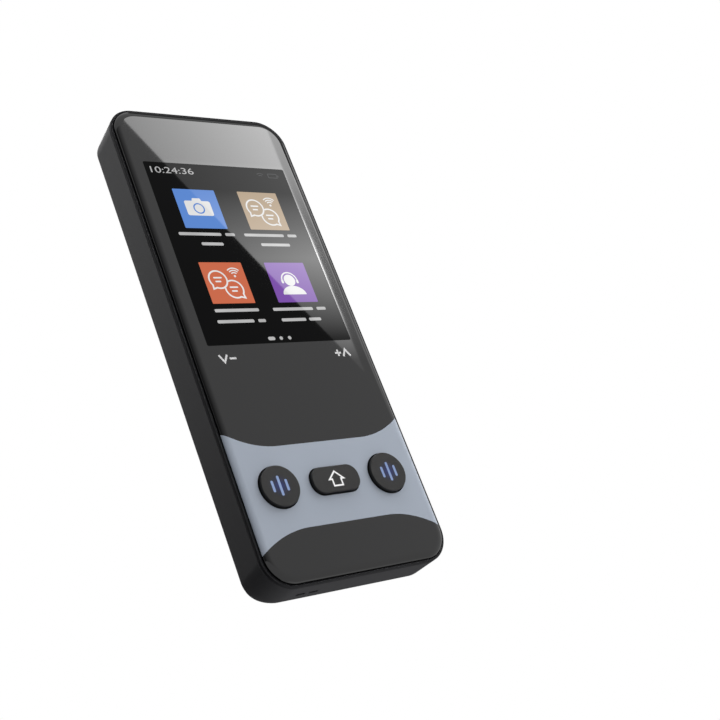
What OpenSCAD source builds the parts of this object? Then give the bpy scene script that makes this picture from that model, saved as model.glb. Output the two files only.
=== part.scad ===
// Handheld voice translator: moulded tub, framed glossy front panel, three front keys, side power key.
// Upright frame in millimetres: X is the width, Y runs from the screen (-Y) to the back (+Y), Z is up.
// The origin is the centre of the bottom end, on which the translator can stand.

/* [Body] */
// Width across the rim
body_w = 48.6; // [46:0.2:54]
// Height, bottom end to top end
body_h = 120; // [116:1:130]
// Depth from the glass to the flat back
body_d = 12.2; // [12:0.1:14]
// Plan radius of the four corners
corner_r = 7; // [6:0.5:9]
// Flat chamfer along the long edges of the back
back_chamfer = 1.4; // [0.8:0.1:1.8]
// Radius that rounds the back off at its top and bottom ends
end_round = 4; // [2:0.5:4.5]
// How far each side leans in towards the back
side_draft = 0.7; // [0.1:0.1:1]
// Thickness of the moulded walls
wall = 1.5; // [1.2:0.1:1.7]
// Thickness of the back
back_wall = 1.6; // [1.4:0.1:1.8]

/* [Front panel] */
// How far the glass stands proud of the rim
panel_proud = 0.8; // [0.6:0.1:1]
// Visible width of the rim round the glass
rim_w = 0.63; // [0.5:0.01:0.9]
// Gap between the rim and the glass
panel_gap = 0.12; // [0.1:0.01:0.2]
// Thickness of the glass
panel_t = 1; // [0.8:0.1:1.2]
// Width of the curved edge of the glass
panel_curve_w = 1.7; // [1:0.1:2.2]
// Depth of the curved edge of the glass
panel_curve_d = 0.65; // [0.4:0.05:0.8]

/* [Display] */
// Width of the display module
display_w = 40; // [38:0.5:41]
// Height of the display module
display_h = 56; // [54:0.5:58]
// Height of the module's middle above the bottom end
display_z = 78.6; // [78:0.1:80]

/* [Keys] */
// Height of the key row above the bottom end
key_z = 21.3; // [20:0.1:23]
// Distance of the round keys from the middle
talk_key_x = 14.45; // [13.5:0.05:15]
// Radius of the round keys
talk_key_r = 4.65; // [4:0.05:4.7]
// Width of the home key
home_key_w = 12.4; // [11:0.2:13.4]
// Height of the home key
home_key_h = 6; // [5.6:0.1:7]
// Corner radius of the home key
home_key_r = 2.7; // [2:0.1:2.7]
// How far the keys stand proud of the glass
key_proud = 0.9; // [0.6:0.1:1.2]
// Gap round each key
key_gap = 0.15; // [0.1:0.01:0.2]
// How far a front key travels
key_travel = 0.35; // [0.2:0.05:0.4]

/* [Power key] */
// Height of the power key above the bottom end
power_z = 99.8; // [97:0.1:103]
// Distance of the power key in front of mid depth
power_y = -0.5; // [-0.8:0.1:0]
// Length of the power key
power_l = 10.2; // [9:0.1:11]
// Width of the power key
power_w = 3; // [2.6:0.1:3.2]
// How far the power key travels
power_travel = 0.3; // [0.2:0.05:0.35]

/* [Speaker grille] */
// Holes in each row, bottom to top
grille_rows = [5, 7, 9, 11, 9, 7, 5];
// Distance between holes
grille_pitch = 2.6; // [2.4:0.05:2.7]
// Diameter of each hole
grille_hole_d = 1.3; // [1:0.1:1.5]
// Height of the grille's middle above the bottom end
grille_z = 21.9; // [20:0.1:23]

/* [Camera] */
// Height of the camera above the bottom end
camera_z = 106.7; // [106:0.1:107]
// Width of the raised camera block
camera_w = 13.8; // [13:0.1:15]
// How far the camera trim stands proud of the back
camera_proud = 0.9; // [0.6:0.1:1.2]

/* [Hidden] */
$fn = 64;
hull_fn = 32;
slice = 0.02;

// Depths, front to back
glass_y = -body_d / 2;
back_y = body_d / 2;
rim_y = glass_y + panel_proud;
panel_back_y = glass_y + panel_t;
adhesive_t = 0.15;
ledge_y = panel_back_y + adhesive_t;
parting_y = rim_y + 0.8;
plate_back_y = ledge_y + 0.8;
skirt_y = plate_back_y + 1.3;
chamfer_y = back_y - back_chamfer;
inner_back_y = back_y - back_wall;
display_t = 1.7;
display_clear = 0.2;
display_r = 0.6;
display_back_y = panel_back_y + display_t;
backplate_t = 0.25;
board_t = 0.8;
board_y = -2.2;
board_back_y = board_y + board_t;
key_board_y = -2.9;
key_board_back_y = key_board_y + board_t;

// Plan insets from the widest outline
panel_inset = rim_w + panel_gap;
parting_v = 0.12;
draft_y = parting_y + parting_v;
skirt_clear = 0.25;
skirt_t = 0.8;

// Front keys
key_top_y = glass_y - key_proud;
key_edge = 0.2;
flange_w = 0.85;
stop_gap = 0.03;
flange_t = 0.35;
post_r = 1.5;
flange_y = plate_back_y + stop_gap;
flange_back_y = flange_y + flange_t;
dome_t = 0.25;
dome_r = 2.5;
dome_top_r = 1.5;
dome_sheet_t = 0.1;
dome_sheet_h = 10;
dome_sheet_side = 4.5;
key_board_w = 39.4;
key_board_h = 19.6;
post_y = key_board_y - dome_t - key_travel - stop_gap;

// Power key
power_face_x = body_w / 2 - 0.45;
power_recess_x = body_w / 2 - 0.95;
power_clear = 0.15;
power_recess_margin = 0.45;
power_flange_x = body_w / 2 - 2;
power_flange_t = 0.5;
power_flange_w = 0.6;
power_nub_r = 0.8;
power_nub_x = power_flange_x - power_flange_t - 0.1;
power_edge = 0.15;
power_switch_x = body_w / 2 - 5.7;
power_switch_w = 2;
power_switch_h = 3.8;
power_switch_t = 1.8;
plunger_r = 0.7;
inlay_l = 7.8;
inlay_w = 1.1;
inlay_t = 0.4;
inlay_proud = 0.05;

// Camera stack
camera_plan_r = 3;
camera_edge_w = 0.6;
camera_edge_h = 0.25;
trim_w = camera_w - 1.6;
trim_r = 2.5;
trim_t = 0.5;
trim_edge = 0.15;
trim_fit = 0.02;
trim_seat_y = back_y - 0.55;
trim_y = back_y + camera_proud;
window_y = trim_y - 0.55;
bump_y = trim_y - trim_edge;
barrel_r = 3.3;
barrel_hole_r = 3.6;
barrel_y = trim_seat_y - 0.25;
barrel_mouth_r = 2.6;
barrel_throat_r = 1.4;
barrel_mouth_l = 0.9;
barrel_bore_l = 1.5;
lens_r = 1.38;
lens_t = 1;
lens_ball_r = 2.2;
camera_base_w = 8.4;
camera_base_y = 2.6;

// Bosses and screws
case_bosses = [[-18.6, 5.2], [18.6, 5.2], [-19.5, 43.6], [19.5, 43.6], [-18.6, 114.8], [18.6, 114.8]];
board_posts = [[-19.4, 66], [19.4, 66], [-19.4, 96], [19.4, 88]];
key_posts = [[-17.5, 13.6], [17.5, 13.6], [-17.5, 29.4], [17.5, 29.4]];
boss_r = 1.9;
post_outer_r = 1.45;
screw_r = 0.7;
small_screw_r = 0.55;
pilot_clear = 0.02;
pilot_spare = 0.6;
hole_clear = 0.1;
head_clear = 0.15;
boss_step_y = plate_back_y + 0.7;
into_back = 0.2;
head_r = 1.25;
head_t = 0.5;
head_y = ledge_y + 0.05;
seat_y = head_y + head_t;
small_head_r = 1.1;
small_head_t = 0.42;
frame_screw_l = 5.5;
board_screw_l = 3;

// Connectors on the board: x, z and length of each
connectors = [[-11, 66, 7], [12, 94, 6], [-12, 98.5, 6]];
connector_w = 2.4;
connector_t = 1.2;

// Battery, speaker and lanyard eye
battery_w = 35.6;
battery_h = 51.5;
battery_z = 46.5;
battery_t = 4;
battery_r = 1.6;
tape_t = 0.25;
tape_w = 8;
tape_x = 9;
rail_x = battery_w / 2 + 0.55;
rail_w = 0.8;
rail_y = 1;
lead_t = 0.2;
lead_w = 6;
lead_bend_z = battery_z - 0.6;
speaker_w = 30;
speaker_h = 19;
speaker_t = 3.2;
speaker_r = 2.5;
speaker_magnet_r = 6;
speaker_magnet_t = 0.4;
speaker_wall_t = 0.8;
speaker_wall_y = 2.4;
foam_t = 0.3;
mesh_t = 0.2;
mesh_y = inner_back_y - mesh_t;
foam_y = mesh_y - foam_t;
speaker_y = foam_y - speaker_t;
lanyard_x = -12.35;
lanyard_y = 0;
lanyard_slot_l = 2;
lanyard_slot_w = 1.1;
lanyard_pitch = 3.3;
lanyard_bar_h = 2.4;
lanyard_depth = 4.2;
lanyard_wall = 1;
lanyard_block_t = 3.2;

// Socket, microphone, motor
usb_w = 8.94;
usb_h = 3.16;
usb_wall = 0.3;
usb_l = 7;
usb_y = board_back_y + usb_h / 2;
usb_top_z = body_h - 0.8;
usb_gap = 0.14;
usb_back_t = 0.8;
tongue_w = 6.7;
tongue_t = 0.7;
tongue_l = 5.4;
tongue_back = 0.8;
mic_x = 14.3;
mic_z = 109.1;
mic_hole_r = 0.5;
mic_t = 1.1;
mic_gasket_t = 0.2;
mic_w = 3.8;
mic_h = 3;
motor_x = 13;
motor_z = 37.4;
motor_r = 4;
motor_t = 2.7;
motor_hub_r = 1;
motor_hub_t = 0.2;

// Boards, shields, flexes
board_w = 41;
board_h = 57.2;
board_z = 86.6;
can_t = 1.4;
ribbon_t = 0.15;
display_flex_x = -6;
display_flex_w = 12;
display_flex_drop = 3;
display_flex_end_z = 63;
antenna_x = -15.5;
antenna_z = 105.1;
antenna_w = 9;
antenna_h = 14;
antenna_slit_l = 7;
antenna_slit_w = 0.9;
antenna_slit_pitch = 3;

// Windows in the adhesive: [height of its middle, side margin, height, corner radius]
adhesive_windows = [[key_z, 3.5, 16, 3], [40, 6, 14, 3], [111.5, 6, 6, 2.5]];

// ---- Shared shapes ----

// Extrudes a plan drawn as (x, z) from depth y0 to depth y1
module slab(y0, y1) translate([0, y1, 0]) rotate([90, 0, 0]) linear_extrude(y1 - y0) children();

// Cylinder along Y at (x, z), from depth y0 to depth y1
module pin_y(x, z, r, y0, y1, r_end = -1)
    translate([x, y0, z]) rotate([-90, 0, 0])
        cylinder(r1 = r, r2 = r_end < 0 ? r : r_end, h = y1 - y0);

// Rectangle with true arcs at its corners, centred
module round_rect(w, h, r) {
    square([w - 2 * r, h], center = true);
    square([w, h - 2 * r], center = true);
    for (sx = [-1, 1], sz = [-1, 1])
        translate([sx * (w / 2 - r), sz * (h / 2 - r)]) circle(r);
}

// Outline of the body, moved in by side on the sides, top and bottom
module body_plan(side, top, bottom)
    translate([0, (body_h - top + bottom) / 2])
        round_rect(body_w - 2 * side, body_h - top - bottom, corner_r - side);

// Thin slice of the body's outline, for a hull
module body_slice(y, side, top, bottom)
    slab(y - slice / 2, y + slice / 2) body_plan(side, top, bottom, $fn = hull_fn);

// Plan of a front key, grown by a margin
module talk_key_plan(side, margin = 0) translate([side * talk_key_x, key_z]) circle(talk_key_r + margin);
module home_key_plan(margin = 0)
    translate([0, key_z]) round_rect(home_key_w + 2 * margin, home_key_h + 2 * margin, home_key_r + margin);
module all_keys_plan(margin) {
    talk_key_plan(-1, margin);
    talk_key_plan(1, margin);
    home_key_plan(margin);
}

// Pill along Z, drawn as (y, z), extruded along X from x0 to x1
module pill_x(x0, x1, l, w)
    translate([x0, power_y, power_z]) rotate([90, 0, 90]) linear_extrude(x1 - x0)
        round_rect(w, l, w / 2 - 0.001);

// Screw along +Y: domed pan head with a cross slot, and a plain shank
module screw(x, z, head_y, hr, ht, sr, length) {
    slot_w = hr * 0.28;
    difference() {
        union() {
            pin_y(x, z, hr * 0.72, head_y, head_y + ht / 2, hr);
            pin_y(x, z, hr, head_y + ht / 2, head_y + ht);
        }
        for (turn = [0, 90])
            translate([x, head_y, z]) rotate([0, turn, 0])
                cube([hr * 1.1, ht, slot_w], center = true);
    }
    pin_y(x, z, sr, head_y + ht, head_y + ht + length);
}

// ---- Rear case ----

// Draft of the case's walls at a depth
function draft_in(y) = side_draft * (y - draft_y) / (chamfer_y - draft_y);

// Side view up to a depth, rounded off by r at both ends, extruded over the body's width
module side_profile(back, r, bottom, top) {
    arc_y = back - r;
    top_z = body_h - top - draft_in(arc_y);
    translate([-body_w / 2 - 1, 0, 0]) rotate([90, 0, 90]) linear_extrude(body_w + 2) {
        translate([rim_y, -1]) square([arc_y - rim_y, body_h + 2]);
        translate([rim_y, bottom + r]) square([back - rim_y, top_z - bottom - 2 * r]);
        for (z = [bottom + r, top_z - r]) translate([arc_y, z]) circle(r);
    }
}

// Outside: drafted, chamfered along its sides and rounded off at its ends
module case_outside() intersection() {
    hull() {
        body_slice(parting_y + slice / 2, parting_v, parting_v, 0);
        body_slice(draft_y, 0, 0, 0);
        body_slice(chamfer_y, side_draft, side_draft, 0);
        body_slice(back_y - slice / 2, side_draft + back_chamfer, side_draft, 0);
    }
    side_profile(back_y, end_round, 0, 0);
}

// Inside: even walls, so its ends round off too
module case_hollow() intersection() {
    hull() {
        body_slice(parting_y - slice, wall, wall, wall);
        body_slice(inner_back_y - slice / 2, wall + side_draft, wall + side_draft, wall);
    }
    side_profile(inner_back_y, end_round - wall, wall, wall);
}

// Raised block round the camera, its edge rounded over in two steps
module camera_block() translate([0, 0, camera_z]) {
    height = bump_y - back_y;
    sunk = 0.3;
    shoulder = 0.2;
    steps = [[shoulder, 0], [height - camera_edge_h, -camera_edge_w / 2], [height, -camera_edge_w]];
    slab(back_y - sunk, back_y + shoulder) round_rect(camera_w, camera_w, camera_plan_r);
    hull() for (step = steps)
        slab(back_y + step[0] - slice, back_y + step[0])
            round_rect(camera_w + 2 * step[1], camera_w + 2 * step[1], camera_plan_r + step[1],
                $fn = hull_fn);
}

module case_inside() {
    back = inner_back_y + into_back;
    for (p = case_bosses) pin_y(p[0], p[1], boss_r, boss_step_y, back);
    for (p = board_posts) pin_y(p[0], p[1], post_outer_r, board_back_y, back);
    for (p = key_posts) pin_y(p[0], p[1], post_outer_r, key_board_back_y, back);
    // Rails beside the battery
    for (side = [-1, 1])
        slab(rail_y, back) translate([side * rail_x, battery_z + battery_h / 2])
            square([rail_w, battery_h - tape_w], center = true);
    // Wall round the speaker
    slab(speaker_wall_y, back) translate([0, grille_z]) difference() {
        inside = [speaker_w + 2 * hole_clear, speaker_h + 2 * hole_clear];
        square([inside[0] + 2 * speaker_wall_t, inside[1] + 2 * speaker_wall_t], center = true);
        square(inside, center = true);
    }
    // Block that holds the lanyard tunnel
    slab(lanyard_y - lanyard_block_t / 2, lanyard_y + lanyard_block_t / 2)
        translate([lanyard_x, (lanyard_depth + wall) / 2])
            square([lanyard_pitch + lanyard_slot_l + 2 * lanyard_wall, lanyard_depth], center = true);
}

module lanyard_tunnel() {
    for (side = [-1, 1])
        translate([lanyard_x + side * lanyard_pitch / 2, lanyard_y, lanyard_depth / 2 - 0.5])
            cube([lanyard_slot_l, lanyard_slot_w, lanyard_depth + 1], center = true);
    translate([lanyard_x, lanyard_y, (lanyard_bar_h + lanyard_depth) / 2])
        cube([lanyard_pitch, lanyard_slot_w, lanyard_depth - lanyard_bar_h], center = true);
}

module grille_holes() {
    rows = len(grille_rows);
    for (row = [0 : rows - 1], i = [0 : grille_rows[row] - 1])
        pin_y((i - (grille_rows[row] - 1) / 2) * grille_pitch,
            grille_z + (row - (rows - 1) / 2) * grille_pitch,
            grille_hole_d / 2, inner_back_y - 0.5, back_y + 1);
}

module usb_plan(margin) translate([0, usb_y])
    round_rect(usb_w + 2 * margin, usb_h + 2 * margin, usb_h / 2 + margin - 0.001);

module rear_case() color("#34343a") difference() {
    union() {
        difference() {
            case_outside();
            case_hollow();
        }
        camera_block();
        case_inside();
    }
    grille_holes();
    pin_y(mic_x, mic_z, mic_hole_r, inner_back_y - 0.5, back_y + 1);
    slab(trim_seat_y, trim_y + 1) translate([0, camera_z])
        round_rect(trim_w + 2 * trim_fit, trim_w + 2 * trim_fit, trim_r + trim_fit);
    pin_y(0, camera_z, barrel_hole_r, inner_back_y - 0.5, trim_seat_y + 0.5);
    for (p = case_bosses)
        pin_y(p[0], p[1], screw_r + pilot_clear, plate_back_y, seat_y + frame_screw_l + pilot_spare);
    for (p = board_posts)
        pin_y(p[0], p[1], small_screw_r + pilot_clear, board_back_y - 1,
            board_y + board_screw_l + pilot_spare);
    for (p = key_posts)
        pin_y(p[0], p[1], small_screw_r + pilot_clear, key_board_back_y - 1,
            key_board_y + board_screw_l + pilot_spare);
    pill_x(power_recess_x, body_w, power_l + 2 * power_recess_margin, power_w + 2 * power_recess_margin);
    pill_x(power_flange_x, body_w, power_l + 2 * power_clear, power_w + 2 * power_clear);
    lanyard_tunnel();
    translate([0, 0, usb_top_z - usb_l]) linear_extrude(usb_l + 2) usb_plan(usb_gap);
}

// ---- Front frame, glass and display ----

module frame_rim() hull() {
    body_slice(rim_y + slice / 2, 0.2, 0.2, 0.2);
    body_slice(rim_y + 0.2, 0.02, 0.02, 0.02);
    body_slice(parting_y - parting_v, 0, 0, 0);
    body_slice(parting_y - slice / 2, parting_v, parting_v, 0);
}

module display_opening() translate([0, display_z])
    square([display_w + 2 * display_clear, display_h + 2 * display_clear], center = true);

module front_frame() color("#3c3c42") difference() {
    skirt_inset = wall + skirt_clear;
    union() {
        frame_rim();
        slab(parting_y - 0.1, plate_back_y) body_plan(skirt_inset, skirt_inset, skirt_inset);
        slab(plate_back_y - 0.1, skirt_y) difference() {
            body_plan(skirt_inset, skirt_inset, skirt_inset);
            body_plan(skirt_inset + skirt_t, skirt_inset + skirt_t, skirt_inset + skirt_t);
        }
        for (p = case_bosses) pin_y(p[0], p[1], boss_r, plate_back_y - 0.1, boss_step_y);
    }
    slab(glass_y, ledge_y) body_plan(rim_w, rim_w, rim_w);
    slab(glass_y, skirt_y + 1) display_opening();
    slab(glass_y, skirt_y + 1) all_keys_plan(key_gap);
    for (p = case_bosses) {
        pin_y(p[0], p[1], screw_r + hole_clear, glass_y, skirt_y + 1);
        pin_y(p[0], p[1], head_r + head_clear, glass_y, seat_y);
    }
    // Room for the power key's flange
    translate([body_w / 2 - 2.6, skirt_y - 0.3, power_z - power_l]) cube([2, 1, 2 * power_l]);
}

module front_panel() color("#26262a") difference() {
    union() {
        slab(glass_y + panel_curve_d, panel_back_y) body_plan(panel_inset, panel_inset, panel_inset);
        hull() for (a = [0 : 15 : 90]) {
            inset = panel_inset + panel_curve_w * (1 - cos(a));
            body_slice(glass_y + slice / 2 + panel_curve_d * (1 - sin(a)), inset, inset, inset);
        }
    }
    slab(glass_y - 1, panel_back_y + 1) all_keys_plan(key_gap);
}

module panel_adhesive() color("#151515") slab(panel_back_y, ledge_y) difference() {
    inset = panel_inset + 0.2;
    body_plan(inset, inset, inset);
    display_opening();
    for (window = adhesive_windows)
        translate([0, window[0]]) round_rect(body_w - 2 * window[1], window[2], window[3]);
    for (p = case_bosses) translate(p) circle(head_r + head_clear);
}

module display_module() color("#0c0c10") slab(panel_back_y, display_back_y)
    translate([0, display_z]) round_rect(display_w, display_h, display_r);

module display_backplate() color("#a8abb0") {
    rib_w = 3;
    rib_x = 9;
    back = display_back_y + backplate_t;
    slab(display_back_y, back) translate([0, display_z]) round_rect(display_w, display_h, display_r);
    // Two pressed stiffening ribs
    for (side = [-1, 1])
        slab(back - 0.05, back + 0.2)
            translate([side * rib_x, display_z]) round_rect(rib_w, display_h - 16, rib_w / 2 - 0.01);
}

module display_flex() color("#b56a1e") {
    module_end_z = display_z - display_h / 2;
    fold_z = module_end_z - display_flex_drop;
    front = display_back_y - 0.6;
    translate([display_flex_x, 0, 0]) rotate([90, 0, 90]) linear_extrude(display_flex_w) {
        // Tail that leaves the module, turns back and lies on the board
        translate([front, fold_z]) square([ribbon_t, display_flex_drop]);
        translate([front, fold_z]) square([board_y - front, ribbon_t]);
        translate([board_y - ribbon_t, fold_z]) square([ribbon_t, display_flex_end_z - fold_z]);
    }
}

// ---- Keys ----

// Post behind a key, which presses the dome
module key_post(x) pin_y(x, key_z, post_r, flange_back_y - 0.1, post_y);

module talk_button(side) {
    x = side * talk_key_x;
    pin_y(x, key_z, talk_key_r - key_edge, key_top_y, key_top_y + key_edge, talk_key_r);
    pin_y(x, key_z, talk_key_r, key_top_y + key_edge, flange_y + 0.1);
    pin_y(x, key_z, talk_key_r + flange_w, flange_y, flange_back_y);
    key_post(x);
}

module left_talk_button() color("#2a2a2e") talk_button(-1);
module right_talk_button() color("#2a2a2e") talk_button(1);

module home_button() color("#2a2a2e") {
    hull() {
        slab(key_top_y, key_top_y + slice) home_key_plan(-key_edge, $fn = hull_fn);
        slab(key_top_y + key_edge, key_top_y + key_edge + slice) home_key_plan($fn = hull_fn);
    }
    slab(key_top_y + key_edge, flange_y + 0.1) home_key_plan();
    slab(flange_y, flange_back_y) home_key_plan(flange_w);
    key_post(0);
}

module key_dome_sheet() color("#c9ccd1") {
    slab(key_board_y - dome_sheet_t, key_board_y)
        translate([0, key_z]) round_rect(2 * (talk_key_x + dome_sheet_side), dome_sheet_h, 2);
    for (x = [-talk_key_x, 0, talk_key_x])
        pin_y(x, key_z, dome_top_r, key_board_y - dome_t, key_board_y - dome_sheet_t + 0.01, dome_r);
}

module key_board() color("#1d5a36") slab(key_board_y, key_board_back_y) difference() {
    posts_z = (key_posts[0][1] + key_posts[2][1]) / 2;
    translate([0, posts_z]) round_rect(key_board_w, key_board_h, 1);
    for (p = key_posts) translate(p) circle(small_screw_r + hole_clear);
}

module power_button() color("#2a2a2e") difference() {
    shoulder_x = power_face_x - power_edge;
    union() {
        pill_x(power_flange_x, shoulder_x, power_l, power_w);
        hull() {
            pill_x(shoulder_x - slice, shoulder_x, power_l, power_w, $fn = hull_fn);
            pill_x(power_face_x - slice, power_face_x, power_l - 2 * power_edge, power_w - 2 * power_edge,
                $fn = hull_fn);
        }
        pill_x(power_flange_x - power_flange_t, power_flange_x,
            power_l + 2 * power_flange_w, power_w + 2 * power_flange_w);
        translate([power_nub_x, power_y, power_z]) rotate([0, 90, 0])
            cylinder(r = power_nub_r, h = 2 * (power_flange_x - power_flange_t - power_nub_x));
    }
    pill_x(power_face_x - inlay_t, power_face_x + 1, inlay_l, inlay_w);
}

module power_button_inlay() color("#c0302f")
    pill_x(power_face_x - inlay_t, power_face_x + inlay_proud, inlay_l - 0.02, inlay_w - 0.02);

module power_switch() color("#8d9096") {
    plunger_x = power_switch_x + power_switch_w;
    translate([power_switch_x, board_back_y, power_z - power_switch_h / 2])
        cube([power_switch_w, power_switch_t, power_switch_h]);
    translate([plunger_x, power_y, power_z]) rotate([0, 90, 0])
        cylinder(r = plunger_r, h = power_nub_x - power_travel - stop_gap - plunger_x);
}

// ---- Camera ----

module trim_plan(grow = 0) translate([0, camera_z])
    round_rect(trim_w + 2 * grow, trim_w + 2 * grow, trim_r + grow);

module camera_trim() color("#8b8e94") difference() {
    union() {
        slab(trim_seat_y, bump_y) trim_plan();
        hull() {
            slab(bump_y - slice, bump_y) trim_plan($fn = hull_fn);
            slab(trim_y - slice, trim_y) trim_plan(-trim_edge, $fn = hull_fn);
        }
    }
    slab(trim_seat_y - 1, trim_y + 1) trim_plan(-trim_t);
}

module camera_window() color("#101216") slab(trim_seat_y, window_y) trim_plan(-trim_t - trim_fit);

module camera_barrel() color("#17181b") difference() {
    pin_y(0, camera_z, barrel_r, camera_base_y, barrel_y);
    pin_y(0, camera_z, barrel_throat_r, barrel_y - barrel_mouth_l, barrel_y + 0.1, barrel_mouth_r);
    pin_y(0, camera_z, barrel_throat_r, barrel_y - barrel_bore_l, barrel_y);
}

module camera_lens() color("#3a4a66") translate([0, barrel_y - barrel_bore_l, camera_z]) rotate([-90, 0, 0])
    intersection() {
        cylinder(r = lens_r, h = lens_t);
        translate([0, 0, 0.8 - lens_ball_r]) sphere(lens_ball_r);
    }

module camera_module() color("#2b4a33") {
    translate([0, (board_back_y + camera_base_y) / 2, camera_z])
        cube([camera_base_w, camera_base_y - board_back_y, camera_base_w], center = true);
}

// ---- Electronics ----

module main_board() color("#1d5a36") slab(board_y, board_back_y) difference() {
    translate([0, board_z]) round_rect(board_w, board_h, 1.5);
    for (p = case_bosses) translate(p) circle(boss_r + 0.5);
    for (p = board_posts) translate(p) circle(small_screw_r + hole_clear);
}

module shield_can(x, z, w, h)
    translate([x, 0, z]) slab(board_back_y, board_back_y + can_t) round_rect(w, h, 0.8);

module processor_shield() color("#b9bcc1") shield_can(-8.6, 83, 14, 18);
module modem_shield() color("#b9bcc1") shield_can(8.4, 79, 15, 20);

module board_connectors() color("#e6e1d3") for (p = connectors)
    translate([p[0], board_back_y + connector_t / 2, p[1]])
        cube([p[2], connector_t, connector_w], center = true);

module usb_c_shell() color("#c3c6cb") translate([0, 0, usb_top_z - usb_l]) difference() {
    linear_extrude(usb_l) usb_plan(0);
    translate([0, 0, usb_back_t]) linear_extrude(usb_l) usb_plan(-usb_wall);
}

module usb_c_tongue() color("#141416")
    translate([0, usb_y, usb_top_z - usb_l + tongue_back + tongue_l / 2])
        cube([tongue_w, tongue_t, tongue_l], center = true);

module battery() color("#8c9299") slab(inner_back_y - tape_t - battery_t, inner_back_y - tape_t)
    translate([0, battery_z + battery_h / 2]) round_rect(battery_w, battery_h, battery_r);

module battery_tape() color("#e9e4d8") slab(inner_back_y - tape_t, inner_back_y)
    for (side = [-1, 1]) translate([side * tape_x, battery_z + battery_h / 2])
        square([tape_w, battery_h - 6], center = true);

// Flat lead: leaves the bottom of the battery, turns forward and runs up to its connector
module battery_lead() color("#b56a1e") {
    cell_side_y = inner_back_y - tape_t - battery_t / 2;
    board_side_y = board_back_y + connector_t / 2;
    bend_y = (cell_side_y + board_side_y) / 2;
    bend_r = (cell_side_y - board_side_y) / 2;
    plug_z = connectors[0][1] - connector_w / 2;
    translate([connectors[0][0] - lead_w / 2, 0, 0]) rotate([90, 0, 90]) linear_extrude(lead_w) {
        translate([cell_side_y - lead_t / 2, lead_bend_z]) square([lead_t, battery_z - lead_bend_z]);
        translate([board_side_y - lead_t / 2, lead_bend_z]) square([lead_t, plug_z - lead_bend_z]);
        difference() {
            translate([bend_y, lead_bend_z]) circle(bend_r + lead_t / 2);
            translate([bend_y, lead_bend_z]) circle(bend_r - lead_t / 2);
            translate([bend_y - 2 * bend_r, lead_bend_z]) square([4 * bend_r, 2 * bend_r]);
        }
    }
}

module speaker_plan(grow = 0) translate([0, grille_z])
    round_rect(speaker_w + 2 * grow, speaker_h + 2 * grow, speaker_r + grow);

module speaker() color("#23252a") {
    slab(speaker_y, speaker_y + speaker_t) speaker_plan();
    pin_y(0, grille_z, speaker_magnet_r, speaker_y - speaker_magnet_t, speaker_y + 0.1);
}

module speaker_gasket() color("#101012") slab(foam_y, mesh_y) difference() {
    speaker_plan();
    speaker_plan(-1);
}

module speaker_mesh() color("#1a1a1c") slab(mesh_y, inner_back_y) speaker_plan();

module microphone() color("#b9bcc1")
    slab(inner_back_y - mic_gasket_t - mic_t, inner_back_y - mic_gasket_t) translate([mic_x, mic_z])
        round_rect(mic_w, mic_h, 0.3);

module microphone_gasket() color("#101012") slab(inner_back_y - mic_gasket_t, inner_back_y)
    translate([mic_x, mic_z]) difference() {
        round_rect(mic_w - 0.2, mic_h - 0.2, 0.5);
        circle(mic_hole_r + hole_clear);
    }

module vibration_motor() color("#b9bcc1") {
    front = inner_back_y - motor_t;
    pin_y(motor_x, motor_z, motor_r, front, inner_back_y);
    pin_y(motor_x, motor_z, motor_hub_r, front - motor_hub_t, front + 0.1);
}

module antenna_flex() color("#b56a1e") slab(inner_back_y - ribbon_t, inner_back_y) difference() {
    translate([antenna_x, antenna_z]) round_rect(antenna_w, antenna_h, 0.6);
    // Slits from one side, which leave a folded track
    for (i = [0 : 3])
        translate([antenna_x - antenna_w / 2 + antenna_slit_l / 2 - 0.1,
            antenna_z + (i - 1.5) * antenna_slit_pitch])
                square([antenna_slit_l, antenna_slit_w], center = true);
}

module frame_screws() color("#7d8086") for (p = case_bosses)
    screw(p[0], p[1], head_y, head_r, head_t, screw_r, frame_screw_l);

module board_screws() color("#7d8086") {
    for (p = board_posts)
        screw(p[0], p[1], board_y - small_head_t, small_head_r, small_head_t,
            small_screw_r, board_screw_l);
    for (p = key_posts)
        screw(p[0], p[1], key_board_y - small_head_t, small_head_r, small_head_t,
            small_screw_r, board_screw_l);
}

rear_case();
front_frame();
front_panel();
panel_adhesive();
display_module();
display_backplate();
display_flex();
left_talk_button();
home_button();
right_talk_button();
key_dome_sheet();
key_board();
power_button();
power_button_inlay();
power_switch();
camera_trim();
camera_window();
camera_barrel();
camera_lens();
camera_module();
main_board();
processor_shield();
modem_shield();
board_connectors();
usb_c_shell();
usb_c_tongue();
battery();
battery_tape();
battery_lead();
speaker();
speaker_gasket();
speaker_mesh();
microphone();
microphone_gasket();
vibration_motor();
antenna_flex();
frame_screws();
board_screws();
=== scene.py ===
"""Looks of the handheld voice translator, built round its packed construction frame.

X is the width, -Y faces out of the display, +Y out of the back and +Z towards the top end.
Every length in this file is in millimetres, and a mesh is scaled to metres when it is made.
"""

import logging
import math
from dataclasses import dataclass, field
from enum import Enum
from typing import Callable, Sequence

import bmesh
import bpy
from mathutils import Matrix, Vector


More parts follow.
